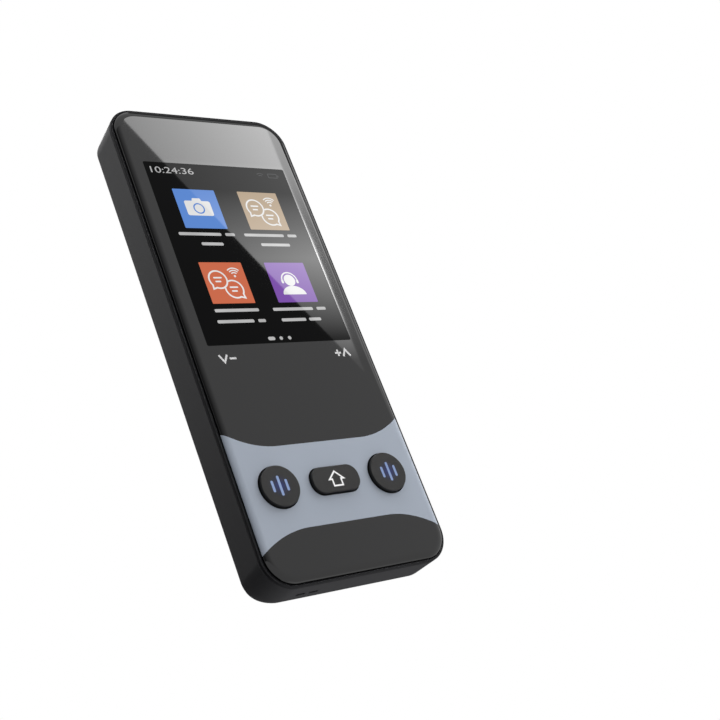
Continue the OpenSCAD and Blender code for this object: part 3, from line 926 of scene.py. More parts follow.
def hand_over(piece: Object, finish: Finish, slot: str, body: str, *nodes: str) -> Object:
    """Finishes a piece: material, body and the nodes that it stands for.

    Args:
        piece: The piece, with its final mesh.
        finish: Its finish.
        slot: Not used.
        body: The body that it rides on.
        *nodes: Construction nodes that it replaces.

    Returns:
        The piece.
    """
    piece.data.materials.clear()
    piece.data.materials.append(finish.material())
    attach(piece, body)
    if nodes:
        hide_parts(*nodes)
    log.info("%s: %s, %d faces", piece.name, finish.name, len(piece.data.polygons))
    return piece


def dress(node: str, finish: Finish) -> None:
    """Gives a construction node that keeps its shape a better finish.

    Args:
        node: The node.
        finish: Its finish.
    """
    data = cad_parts[node].data
    data.materials.clear()
    data.materials.append(finish.material())
    log.info("%s: %s", node, finish.name)


class Recipe:
    """A Geometry Nodes tree with named inputs, which makes one piece."""

    def __init__(self, name: str, **values: float | Object) -> None:
        """Starts the tree.

        Args:
            name: The tree's name.
            **values: Its inputs, lengths in millimetres.
        """
        self.tree = bpy.data.node_groups.new(name, "GeometryNodeTree")
        self.values: dict[str, object] = {}
        for key, value in values.items():
            kind = "NodeSocketObject" if isinstance(value, Object) else "NodeSocketFloat"
            socket = self.tree.interface.new_socket(key, in_out="INPUT", socket_type=kind)
            self.values[socket.identifier] = value
        self.tree.interface.new_socket("Geometry", in_out="OUTPUT",
                                       socket_type="NodeSocketGeometry")
        self.source = add_node(self.tree, "NodeGroupInput").outputs

    def moved(self, geometry: Socket, y: Socket | float, z: Socket | float,
              turn: float = 0.0) -> Socket:
        """Turns geometry about X, then moves it.

        Args:
            geometry: The geometry.
            y: How far it moves along Y.
            z: How far it moves along Z.
            turn: The turn, in radians.

        Returns:
            The moved geometry.
        """
        place = add_node(self.tree, "ShaderNodeCombineXYZ", {"Y": y, "Z": z})
        return add_node(self.tree, "GeometryNodeTransform", {
            "Geometry": geometry, "Rotation": (turn, 0.0, 0.0),
            "Translation": place.outputs[0]}).outputs[0]

    def grid(self, columns: int, rows: int, pitch: Socket, row_pitch: Socket) -> Socket:
        """Points in rows and columns.

        Args:
            columns: Number of columns.
            rows: Number of rows.
            pitch: Distance between two columns.
            row_pitch: Distance between two rows.

        Returns:
            The points.
        """
        width, height = (add_node(self.tree, "ShaderNodeMath", {0: apart, 1: float(count - 1)},
                                  operation="MULTIPLY").outputs[0]
                         for apart, count in ((pitch, columns), (row_pitch, rows)))
        return add_node(self.tree, "GeometryNodeMeshGrid", {
            "Size X": width, "Size Y": height, "Vertices X": columns,
            "Vertices Y": rows}).outputs["Mesh"]

    def soft_rectangle(self, width: Socket, height: Socket, radius: Socket | float,
                       steps: int) -> Socket:
        """Curve round a rectangle with round corners.

        Args:
            width: Its width.
            height: Its height.
            radius: Radius of its corners.
            steps: Number of points in each corner.

        Returns:
            The curve.
        """
        sharp = add_node(self.tree, "GeometryNodeCurvePrimitiveQuadrilateral",
                         {"Width": width, "Height": height})
        return add_node(self.tree, "GeometryNodeFilletCurve", {
            "Curve": sharp.outputs[0], "Radius": radius, "Count": steps},
            mode="POLY").outputs[0]

    def make(self, geometry: Socket, finish: Finish, name: str) -> Object:
        """Ends the tree and turns its result into a plain mesh.

        Args:
            geometry: What the tree made, in millimetres.
            finish: The finish of the piece.
            name: The piece's name.

        Returns:
            The piece, in metres.
        """
        real = add_node(self.tree, "GeometryNodeRealizeInstances", {"Geometry": geometry})
        sized = add_node(self.tree, "GeometryNodeTransform",
                         {"Geometry": real.outputs[0], "Scale": [MM] * 3})
        dressed = add_node(self.tree, "GeometryNodeSetMaterial", {
            "Geometry": sized.outputs[0], "Material": finish.material()})
        add_node(self.tree, "NodeGroupOutput", {"Geometry": dressed.outputs[0]})
        piece = add_object(name, bpy.data.meshes.new(name))
        modifier = piece.modifiers.new("recipe", "NODES")
        modifier.node_group = self.tree
        for identifier, value in self.values.items():
            modifier[identifier] = value
        settle(piece)
        return piece


# ---- Rear case ----

@dataclass
class RearCase:
    """The moulded back: draft on its sides, a chamfer round the back, grille, camera block."""

    wall: float = 0.75
    rows: int = 3
    reach: int = 5
    pitch: float = 2.6
    hole_r: float = 0.655
    lip: float = 0.1
    grille_z: float = 21.9
    # How far the cutters of the back's holes reach in from the back face.
    hole_depth: float = 1.9
    block: Size = (13.8, 13.8, 3.0)
    block_y: float = 6.85
    block_fillet: Point = (0.5, 0.45)
    block_edge: float = 0.3
    pocket: Size = (12.24, 12.24, 2.52)
    mic: Point = (14.3, 109.1)
    mic_r: float = 0.51
    mic_lip: float = 0.1
    power_recess: Point = (0.45, 23.35)
    power_hole: Point = (0.16, 22.31)
    lanyard: Point = (-12.35, 0.0)
    lanyard_pitch: float = 3.3
    lanyard_slot: Size = (2.02, 1.12, 0.2)
    lanyard_flare: tuple[Point, ...] = ((-0.5, 1.14), (0.0, 1.14), (0.16, 1.0), (2.0, 1.0))
    usb: Size = (9.22, 3.44, 1.719)
    usb_middle: Point = (0.0, 0.18)
    usb_mouth: tuple[Point, ...] = ((115.0, 0.0), (119.82, 0.0), (120.02, 0.2), (121.0, 0.2))

    def level(self, y: float, side: float, inward: float, radius: float) -> tuple[float, ...]:
        """Insets of the case at one depth.

        Args:
            y: The depth.
            side: Inset of its sides.
            inward: How far every wall is moved in.
            radius: Radius of the rounding at both ends.

        Returns:
            Depth, side, top, bottom and rounding, as the body's rings take them.
        """
        start, end = BODY.parting_y + BODY.bevel, BODY.back_y - BODY.chamfer
        arc_y = BODY.back_y - BODY.end_round

        def draft(depth: float) -> float:
            """Inset that the draft has reached at a depth."""
            return BODY.draft * max(0.0, min(1.0, (depth - start) / (end - start)))

        over = max(0.0, y - arc_y)
        rounding = radius - math.sqrt(max(0.0, radius * radius - over * over))
        top = max(draft(y), draft(min(y, arc_y)) + rounding)
        return y, side + inward, top + inward, rounding + inward, rounding

    def turns(self, radius: float, last: int, step: int) -> list[float]:
        """Depths along the rounding of the ends, at even angles."""
        arc_y = BODY.back_y - BODY.end_round
        return [arc_y + radius * math.sin(math.radians(a)) for a in range(0, last + 1, step)]

    def section(self) -> list[tuple[float, ...]]:
        """The case from its parting line to its back, with the radii that the mould leaves."""
        size = BODY
        points = [(size.parting_y, size.bevel), (size.parting_y + size.bevel, 0.0),
                  (size.back_y - size.chamfer, size.draft),
                  (size.back_y, size.draft + size.chamfer)]
        shoulder = corner_curve(points[1], points[2], points[3], 0.28)
        back_edge = corner_curve(points[2], points[3], (size.back_y, 4.0), 0.16)
        side = points[:2] + shoulder + back_edge
        levels = sorted([y for y, _ in side] + self.turns(size.end_round, 85, 5))
        apart = 0.003
        kept = [y for y, after in zip(levels, levels[1:]) if after - y > apart] + levels[-1:]
        return [self.level(y, height_along(side, y), 0.0, size.end_round) for y in kept]

    def shell(self) -> Object:
        """Outer form, still solid inside."""
        return Shape().loft(BODY.rings(self.section())).object("rear_case_shell")

    def inside_block(self) -> Object:
        """Solid that ends inside the walls, for the case's hollow."""
        radius = BODY.end_round - 1.2 * self.wall
        levels = [BODY.parting_y - 0.6] + self.turns(radius, 90, 10)
        section = [self.level(y, BODY.draft * max(0.0, y) / BODY.back_y, self.wall, radius)
                   for y in levels]
        return Shape().loft(BODY.rings(section)).object("inside_block")

    def camera_block(self) -> Object:
        """Raised block round the camera, which flows out of the back in a small fillet."""
        out, up = self.block_fillet
        edge, root, top_y = self.block_edge, BODY.back_y - 0.02, self.block_y
        steps = [(BODY.back_y - 0.4, out)]
        steps += [(root + up * (1 - math.cos(a)), out * (1 - math.sin(a)))
                  for a in quarter_turn(8)]
        steps += [(top_y - edge + edge * math.sin(a), -edge * (1 - math.cos(a)))
                  for a in quarter_turn(8)]
        return Shape().swell(Plane.FRONT, lambda grow: rounded(self.block, BODY.camera, 16, grow),
                             steps).object("camera_block")

    def back_hole(self, radius: float, lip: Sequence[Point]) -> list[Point]:
        """Section of a hole's cutter: straight through the back, then along a flared lip.

        Args:
            radius: The hole's radius.
            lip: Places past the back face, each with how much wider the hole is there.

        Returns:
            The section, as depths and radii.
        """
        section = [(BODY.back_y - self.hole_depth, radius)]
        return section + [(BODY.back_y + past, radius + wider) for past, wider in lip]

    def grille_cutters(self) -> Object:
        """One flared pin for each grille hole, set out in a hexagon on a square grid."""
        lip = self.lip
        flare = [(-lip, 0.0), (-lip / 3, lip / 3), (0.02, lip), (0.5, lip)]
        pin = turned("pin", self.back_hole(self.hole_r, flare), (0.0, 0.0), 36)
        recipe = Recipe("grille_grid", pin=pin, pitch=self.pitch, reach=self.reach + 0.5,
                        middle=self.grille_z)
        tree, source = recipe.tree, recipe.source
        grid = recipe.grid(2 * self.reach + 1, 2 * self.rows + 1, source["pitch"], source["pitch"])
        place = add_node(tree, "ShaderNodeSeparateXYZ", {
            0: add_node(tree, "GeometryNodeInputPosition").outputs[0]}).outputs
        away = [add_node(tree, "ShaderNodeMath", {0: place[i]}, operation="ABSOLUTE").outputs[0]
                for i in range(2)]
        total = add_node(tree, "ShaderNodeMath", {0: away[0], 1: away[1]}, operation="ADD")
        steps = add_node(tree, "ShaderNodeMath", {0: total.outputs[0], 1: source["pitch"]},
                         operation="DIVIDE")
        outside = add_node(tree, "ShaderNodeMath", {0: steps.outputs[0], 1: source["reach"]},
                           operation="GREATER_THAN")
        hexagon = add_node(tree, "GeometryNodeDeleteGeometry",
                           {"Geometry": grid, "Selection": outside.outputs[0]})
        upright = recipe.moved(hexagon.outputs[0], 0.0, source["middle"], UPRIGHT)
        shape = add_node(tree, "GeometryNodeObjectInfo", {"Object": source["pin"]})
        big = add_node(tree, "GeometryNodeTransform", {
            "Geometry": shape.outputs["Geometry"], "Scale": [1 / MM] * 3})
        pins = add_node(tree, "GeometryNodeInstanceOnPoints",
                        {"Points": upright, "Instance": big.outputs[0]})
        cutters = recipe.make(pins.outputs[0], SOFT_TOUCH_CASE, "grille_cutters")
        bpy.data.objects.remove(pin)
        return cutters

    def power_cutter(self, margin: float, near: float) -> Object:
        """Stadium round the power key, from a depth to beyond the side."""
        outline = rounded(BODY.power, BODY.power_middle, grow=margin)
        return flat("pill", [[outline]], near, BODY.width / 2 + 1, Plane.SIDE)

    def lanyard_cutter(self, middle: Point) -> Object:
        """Slot in the bottom end, whose mouth flares about its middle.

        Args:
            middle: The slot's middle.

        Returns:
            The cutter.
        """
        slot = rounded(self.lanyard_slot, middle, 4)
        return Shape().swell(Plane.END, lambda scale: [
            tuple(m + (p - m) * scale for p, m in zip(point, middle)) for point in slot],
            self.lanyard_flare).object("lanyard_cutter")

    def cutters(self) -> list[Object]:
        """Everything that is cut through or into the outside."""
        tools = [self.grille_cutters(), self.power_cutter(*self.power_recess),
                 self.power_cutter(*self.power_hole)]
        tools.append(flat("pocket", [[rounded(self.pocket, BODY.camera, 16)]],
                          BODY.camera_seat_y, BODY.back_y + 2))
        lip = self.mic_lip
        mic = self.back_hole(self.mic_r, [(0.02 - lip, 0.0), (0.02, lip), (0.5, lip)])
        tools.append(turned("mic_cutter", mic, self.mic, 32))
        x, y = self.lanyard
        tools += [self.lanyard_cutter((x + side * self.lanyard_pitch / 2, y)) for side in (-1, 1)]
        tools.append(Shape().swell(Plane.END, lambda grow: rounded(
            self.usb, self.usb_middle, 16, grow), self.usb_mouth).object("usb_cutter"))
        return tools

    def build(self) -> None:
        """Makes the case and hands it over."""
        case = join(self.shell(), self.camera_block(), Join.ADD)
        join(case, hollow_of("rear_case", self.inside_block()), Join.CUT)
        for tool in self.cutters():
            join(case, tool, Join.CUT)
        hand_over(smooth(case), SOFT_TOUCH_CASE, "case_plastic", "body", "rear_case")


# ---- Front ----

@dataclass
class FrontFrame:
    """The frame round the glass: a narrow rim with rounded edges, its ledge and skirt."""

    radius: float = 0.22
    wall: float = 0.3

    def build(self) -> None:
        """Makes the frame and hands it over."""
        size = BODY
        edge = corner_curve((size.rim_y, 0.6), (size.rim_y, 0.0), (size.parting_y, 0.0),
                            self.radius, 7)
        section = [(y, inset, inset, inset) for y, inset in edge]
        section += [(size.parting_y - size.bevel, 0.0, 0.0, 0.0),
                    (size.parting_y, size.bevel, size.bevel, 0.0)]
        rim = Shape().loft(size.rings(section)).object("front_frame_rim")
        block = Shape().loft(size.even_rings([
            (size.glass_y - 1, self.wall), (size.parting_y - 0.05, self.wall)]))
        join(rim, hollow_of("front_frame", block.object("inside_block")), Join.CUT)
        hand_over(smooth(rim), FRAME_PLASTIC_PAINTED_SHADE, "case_plastic", "body", "front_frame")


@dataclass
class FrontGlass:
    """Black glass whose edge curves back into the rim, with the printed band and marks."""

    inset: float = 0.75
    curve_w: float = 1.7
    curve_d: float = 0.65
    # How far print stands out of the glass, so that it shows.
    proud: float = 0.012
    # Each edge of the band: its height, how far out it starts to bow, and how fast it bows.
    band_top: Place = (30.57, 11.3, 0.0266)
    band_bottom: Place = (11.78, 10.4, -0.0247)
    band_margin: float = 0.11
    mark_z: float = 52.1
    mark_line: float = 0.5
    chevron: Place = (16.6, 1.05, 0.95)
    dash: Point = (14.3, 1.75)

    def blank(self, name: str, grow: float = 0.0) -> Object:
        """The glass without its holes.

        Args:
            name: Name of the object.
            grow: How far the front and its curved edge are moved out.

        Returns:
            The blank.
        """
        edge = [(BODY.panel_back_y, self.inset - grow)]
        edge += [(BODY.glass_y + self.curve_d * (1 - math.sin(a)) - grow,
                  self.inset + self.curve_w * (1 - math.cos(a)) - grow)
                 for a in quarter_turn(14)]
        return Shape().loft(BODY.even_rings(edge)).object(name)

    def key_cutter(self, outline: Outline, middle: Point) -> Object:
        """Tool for one key hole, which also breaks its front edge.

        Args:
            outline: The hole's outline.
            middle: Its middle.

        Returns:
            The tool.
        """
        steps = [(BODY.glass_y - 0.5, 0.1), (BODY.glass_y, 0.1), (BODY.glass_y + 0.1, 0.0),
                 (BODY.panel_back_y + 0.5, 0.0)]

        def wider(amount: float) -> Outline:
            """The outline with each point moved away from the middle."""
            return [tuple(p + amount * (p - m) / math.dist(point, middle)
                          for p, m in zip(point, middle)) for point in outline]

        return Shape().swell(Plane.FRONT, wider, steps).object("key_cutter")

    def edge_line(self, line: Place) -> Outline:
        """One long edge of the band: straight in the middle, bowed towards the sides.

        Args:
            line: Its height in the middle, how far out it starts to bow, and how fast it bows.

        Returns:
            Its points, from left to right.
        """
        height, start, bow = line
        reach = BODY.width / 2 + 1
        places = [reach * (2 * i / 64 - 1) for i in range(65)]
        return [(x, height + bow * max(0.0, abs(x) - start) ** 2) for x in places]

    def band(self) -> None:
        """The printed band round the keys."""
        front = BODY.glass_y - 1
        band = self.blank("glass_band", self.proud)
        outline = self.edge_line(self.band_bottom) + self.edge_line(self.band_top)[::-1]
        join(band, flat("band_prism", [[outline]], front, BODY.glass_y + 0.62), Join.KEEP_COMMON)
        for outline in BODY.key_outlines(BODY.key_gap + self.band_margin):
            join(band, flat("key_cutter", [[outline]], front, BODY.glass_y + 1), Join.CUT)
        hand_over(smooth(band), BAND_INK, "front_glass", "body")

    def volume_marks(self) -> None:
        """Quieter on the left, louder on the right."""
        level, line = self.mark_z, self.mark_line
        out, reach, drop = self.chevron
        dash_x, dash_w = self.dash
        plates: Plates = []
        for side in (-1, 1):
            x = side * out
            plates.append(stroke([(x - reach, level - side * drop), (x, level + side * 0.85),
                                  (x + reach, level - side * drop)], line))
            plates.append([rounded((dash_w, line, 0.1), (side * dash_x, level), 4)])
            half = (dash_w - line) / 2
            plates.append([rounded((line, half, 0.1),
                                   (dash_x, level + side * (line + half) / 2), 4)])
        hand_over(flat("volume_marks", plates, BODY.glass_y - self.proud, BODY.glass_y + 0.05),
                  MARK_INK, "front_glass", "body")

    def build(self) -> None:
        """Makes the glass, its band and its volume marks, and hands them over."""
        glass = self.blank("front_glass")
        for outline, middle in zip(BODY.key_outlines(BODY.key_gap), BODY.key_middles()):
            join(glass, self.key_cutter(outline, middle), Join.CUT)
        hand_over(smooth(glass), FRONT_GLASS, "front_glass", "body", "front_panel")
        self.band()
        self.volume_marks()


# ---- Display ----

@dataclass
class Display:
    """The lit page behind the glass: four tiles with generic signs, bars for words, a clock."""

    page: Size = (39.1, 49.1, 0.4)
    centre: Point = (0.0, 79.95)
    tile: Size = (11.2, 10.9, 0.2)
    tiles: tuple[tuple[str, str, float, float], ...] = (
        ("blue", "#5b87cf", -8.8, 91.6), ("tan", "#b19c82", 8.8, 91.6),
        ("orange", "#c9694a", -8.8, 71.4), ("purple", "#7b4fa8", 8.8, 71.4))
    # Left end, height and length of each bar.
    words: tuple[Place, ...] = (
        (-16.76, 84.55, 11.2), (-4.46, 84.55, 2.6), (-11.7, 81.87, 5.8),
        (0.75, 84.55, 11.2), (13.05, 84.55, 2.6), (4.5, 81.87, 8.2),
        (-14.6, 64.15, 11.6), (-14.9, 61.3, 9.6), (-4.2, 61.3, 2.0),
        (0.9, 64.15, 11.2), (13.2, 64.15, 2.6), (2.2, 61.3, 6.8), (9.9, 61.3, 3.4))
    word_height: float = 0.8
    dots_z: float = 56.6
    line: float = 0.4
    bubble_r: float = 2.3
    # Left, right, bottom and top of the digits.
    digits: tuple[float, float, float, float] = (-18.2, -6.9, 101.43, 103.17)
    # How far each layer stands out of the glass, so that the next one shows on it.
    page_proud: float = 0.01
    tile_proud: float = 0.018
    sign_proud: float = 0.026
    # Every layer starts this deep in the glass.
    depth: float = 0.05

    def plates(self, name: str, outlines: Plates, proud: float, finish: Finish) -> None:
        """Makes one layer out of flat plates and hands it over.

        Args:
            name: The layer's name.
            outlines: The plates' outlines.
            proud: How far it stands out of the glass.
            finish: Its finish.
        """
        layer = flat(name, outlines, BODY.glass_y - proud, BODY.glass_y + self.depth)
        hand_over(layer, finish, "display_cell", "body")

    def camera_sign(self, x: float, z: float) -> Plates:
        """A plain camera: body, hump, and a ring for the lens.

        Args:
            x: Middle of the tile, from left to right.
            z: Middle of the tile, upward.

        Returns:
            The plates' outlines.
        """
        lens = (x - 0.15, z + 0.1)
        body = rounded((6.9, 4.1, 0.5), (x - 0.15, z + 0.15), 6)
        hump = [(x - 1.45, z + 2.2), (x + 1.15, z + 2.2), (x + 0.85, z + 2.95),
                (x - 1.15, z + 2.95)]
        return [[body, circle(1.5, lens, 40)], [hump], [circle(1.15, lens, 40)]]

    def bubble(self, centre: Point, tail: Point, other: Point | None = None) -> Plates:
        """A speech bubble in outline, with two bars for its words.

        Args:
            centre: Middle of the bubble.
            tail: Tip of its tail.
            other: Middle of a bubble in front of this one, which hides a part of its line.

        Returns:
            The plates' outlines.
        """
        radius, gap, (x, z) = self.bubble_r, 15.0, centre
        aim = math.degrees(math.atan2(tail[1] - z, tail[0] - x))
        bars = [[rounded((2.2, self.line, 0.15), (x, z + 0.5), 4)],
                [rounded((1.5, self.line, 0.15), (x - 0.1, z - 0.5), 4)]]
        if other is None:
            path = [tail] + arc(centre, radius, aim + gap, aim + 360 - gap, 48)
            return [closed_stroke(path, self.line)] + bars
        away = math.dist(other, centre)
        towards = math.degrees(math.atan2(other[1] - z, other[0] - x))
        reach = radius + self.line / 2
        cosine = (away ** 2 + radius ** 2 - reach ** 2) / (2 * away * radius)
        hidden = math.degrees(math.acos(cosine))
        first = arc(centre, radius, towards + hidden, aim + 360 - gap, 28)
        last = arc(centre, radius, aim + 360 + gap, towards + 360 - hidden, 28)
        return [stroke(first + [tail] + last, self.line)] + bars

    def radio_sign(self, foot: Point, radii: Sequence[float], line: float, steps: int) -> Plates:
        """Arcs over a foot, as of radio waves."""
        return [stroke(arc(foot, radius, 45, 135, steps), line) for radius in radii]

    def talk_sign(self, x: float, z: float) -> Plates:
        """Two speech bubbles and a radio sign.

        Args:
            x: Middle of the tile, from left to right.
            z: Middle of the tile, upward.

        Returns:
            The plates' outlines.
        """
        front = (x - 2.05, z + 0.85)
        sign = self.bubble(front, (x - 3.95, z - 1.6))
        sign += self.bubble((x + 1.4, z - 1.7), (x + 3.5, z - 4.05), front)
        foot = (x + 2.75, z + 1.75)
        return sign + [[circle(0.3, foot, 20)]] + self.radio_sign(foot, (0.95, 1.55, 2.15), 0.3, 16)

    def person_sign(self, x: float, z: float) -> Plates:
        """Head and shoulders with a headset.

        Args:
            x: Middle of the tile, from left to right.
            z: Middle of the tile, upward.

        Returns:
            The plates' outlines.
        """
        head = (x - 0.2, z + 0.56)
        foot, flatness = z - 3.5, 0.72
        shoulders = arc((head[0] + 0.15, foot), 3.25, 0, 180, 32)
        cups = [[rounded((0.6, 1.1, 0.25), (head[0] + side * 2.1, head[1] - 0.3), 5)]
                for side in (-1, 1)]
        return [[circle(1.55, head, 40)], stroke(arc(head, 2.1, 0, 180, 28), 0.35), *cups,
                [[(px, foot + 0.17 + (pz - foot) * flatness) for px, pz in shoulders]]]

    def status_signs(self) -> Plates:
        """Faint signs at the right of the top row: radio, and a battery."""
        middle = (15.6, 102.3)
        return self.radio_sign((12.0, 101.6), (0.7, 1.3), 0.25, 12) + [
            [rounded((2.8, 1.4, 0.2), middle, 4), rounded((2.3, 0.9, 0.1), middle, 4)],
            [rounded((0.3, 0.6, 0.1), (17.25, 102.3), 3)]]

    def clock(self) -> None:
        """Plain digits of the time, at the left of the top row."""
        letters = bpy.data.curves.new("clock", "FONT")
        letters.body = "10:24:36"
        letters.extrude = 0.1
        source = add_object("clock", letters)
        data = evaluated(source)
        bpy.data.objects.remove(source)
        xs, ys = [v.co.x for v in data.vertices], [v.co.y for v in data.vertices]
        left, right, low, high = self.digits
        across, up = (right - left) / (max(xs) - min(xs)), (high - low) / (max(ys) - min(ys))
        for vertex in data.vertices:
            out = -self.sign_proud if vertex.co.z > 0 else self.depth
            vertex.co = Vector((left + (vertex.co.x - min(xs)) * across, BODY.glass_y + out,
                                low + (vertex.co.y - min(ys)) * up)) * MM
        hand_over(add_object("display_clock", data), GREY_PIXELS, "display_cell", "body")

    def build(self) -> None:
        """Makes the page and hands it over."""
        self.plates("display_page", [[rounded(self.page, self.centre, 4)]], self.page_proud,
                    DARK_PIXELS)
        signs: Plates = []
        makers = (self.camera_sign, self.talk_sign, self.talk_sign, self.person_sign)
        for (name, colour, x, z), maker in zip(self.tiles, makers):
            finish = LitPixels("lit_" + name + "_display_pixels", colour, colour)
            self.plates("display_tile_" + name, [[rounded(self.tile, (x, z), 4)]],
                        self.tile_proud, finish)
            signs += maker(x, z)
        self.plates("display_signs", signs, self.sign_proud, WHITE_PIXELS)
        bars = [[rounded((w, self.word_height, 0.3), (x + w / 2, z), 5)] for x, z, w in self.words]
        dots = [[rounded((1.87, 0.9, 0.44), (-2.43, self.dots_z), 8)]]
        dots += [[circle(0.45, (x, self.dots_z), 24)] for x in (0.16, 2.48)]
        self.plates("display_words", bars + dots, self.sign_proud, GREY_PIXELS)
        # The status signs are dimmed as painted shade.
        self.plates("display_status_signs", self.status_signs(), self.sign_proud, DIM_PIXELS_PAINTED_SHADE)
        self.clock()


# ---- Keys ----

@dataclass
class FrontKeys:
    """Two round talk keys and the home key between them."""

    top_y: float = -6.985
    # Depths of the flange's front and back, and how far it stands out.
    flange: Place = (-4.12, -3.77, 0.85)
    post_r: float = 1.5
    post_end_y: float = -3.53
    round_edge: float = 0.2
    proud: float = 0.012
    depth: float = 0.05
    mark_x: float = 14.6
    # Offset from the middle, and height, of each bar of a sound sign.
    sound_bars: tuple[Point, ...] = ((-1.75, 2.6), (0.0, 4.5), (1.75, 2.6))
    # Heights of the house's apex, its eaves and its floor.
    house: Place = (22.95, 21.2, 19.65)

    def key(self, name: str, outline: Callable[[float], Outline], x: float) -> Object:
        """Makes one key with its flange and its post.

        Args:
            name: Name of the object.
            outline: Gives the key's outline for a growth.
            x: Place of the post.

        Returns:
            The key.
        """
        top, (front, back, out) = self.top_y, self.flange
        section = corner_curve((top, -1.0), (top, 0.0), (top + 1, 0.0), self.round_edge, 7)
        section += [(front, 0.0), (front, out), (back, out)]
        shape = Shape().swell(Plane.FRONT, outline, section)
        post = circle(self.post_r, (x, BODY.key_z), 40)
        shape.plate(Plane.FRONT, [post], back, self.post_end_y)
        return smooth(shape.object(name), 35.0)

    def marks(self, name: str, outlines: Plates, finish: Finish, body: str) -> None:
        """Makes the marks in the top of a key and hands them over.

        Args:
            name: Their name.
            outlines: The plates' outlines.
            finish: Their finish.
            body: The key's body.
        """
        marks = flat(name, outlines, self.top_y - self.proud, self.top_y + self.depth)
        hand_over(marks, finish, "key_plastic", body)

    def talk_key(self, side: int, label: str) -> None:
        """Makes one talk key with its sound sign.

        Args:
            side: -1 for the left one, 1 for the right one.
            label: What its names start with.
        """
        middle = (side * BODY.talk_x, BODY.key_z)
        key = self.key(label + "_key_cap", lambda grow: circle(BODY.talk_r + grow, middle),
                       middle[0])
        x, z = side * self.mark_x, BODY.key_z
        lit = BacklitKey("backlit_" + label + "_key", Vector((x, self.top_y, z)))
        hand_over(key, lit, "key_plastic", label + "_key", label + "_button")
        bars = [[rounded((0.6, height, 0.25), (x + dx, z), 8)] for dx, height in self.sound_bars]
        self.marks(label + "_sound_bars", bars, LIT_BLUE, label + "_key")

    def build(self) -> None:
        """Makes the keys and hands them over."""
        self.talk_key(-1, "left_talk")
        self.talk_key(1, "right_talk")
        home = self.key("home_key_cap",
                        lambda grow: rounded(BODY.home, (0.0, BODY.key_z), grow=grow), 0.0)
        hand_over(home, KEY_PLASTIC, "key_plastic", "home_key", "home_button")
        apex, eaves, floor = self.house
        left = [(0.0, apex), (-1.85, eaves), (-1.15, eaves), (-1.15, floor)]
        house = left + [(-x, z) for x, z in left[:0:-1]]
        self.marks("home_sign", [closed_stroke(house, 0.36)], LIT_WHITE, "home_key")


@dataclass
class PowerKey:
    """The power key in the side: a stadium with rounded edges and a red inlay."""

    # Depths of the flange's back and front, and how far it stands out.
    flange: Place = (21.8, 22.3, 0.6)
    round_edge: float = 0.3
    plunger_r: float = 0.8
    pocket: Size = (1.1, 7.8, 0.549)
    inlay: Size = (1.08, 7.78, 0.539)
    inlay_back_x: float = 23.45
    inlay_rise: float = 0.05

    def cap(self) -> Object:
        """The key with its flange, its plunger and the pocket for the inlay."""
        face, middle, (back, front, out) = BODY.power_x, BODY.power_middle, self.flange
        section = [(back, out), (front, out), (front, 0.0)]
        section += corner_curve((face - 1, 0.0), (face, 0.0), (face, -1.0), self.round_edge, 6)
        shape = Shape().swell(Plane.SIDE, lambda grow: rounded(BODY.power, middle, grow=grow),
                              section)
        shape.plate(Plane.SIDE, [circle(self.plunger_r, middle, 32)], back - 0.1, back)
        pocket = flat("pocket", [[rounded(self.pocket, middle)]], self.inlay_back_x, face + 1,
                      Plane.SIDE)
        return smooth(join(shape.object("power_key_cap"), pocket, Join.CUT), 35.0)

    def build(self) -> None:
        """Makes the key and its inlay, and hands them over."""
        hand_over(self.cap(), KEY_PLASTIC, "key_plastic", "power_key", "power_button")
        face, rise = BODY.power_x, self.inlay_rise
        dome = [(self.inlay_back_x, 0.0), (face - 0.02, 0.0), (face + rise * 0.6, -0.1),
                (face + rise * 0.9, -0.25), (face + rise, -0.45)]
        inlay = Shape().swell(Plane.SIDE, lambda grow: rounded(
            self.inlay, BODY.power_middle, grow=grow), dome).object("power_key_inlay")
        hand_over(smooth(inlay, 60.0), RED_ACRYLIC, "red_inlay", "power_key",
                  "power_button_inlay")


# ---- Camera ----

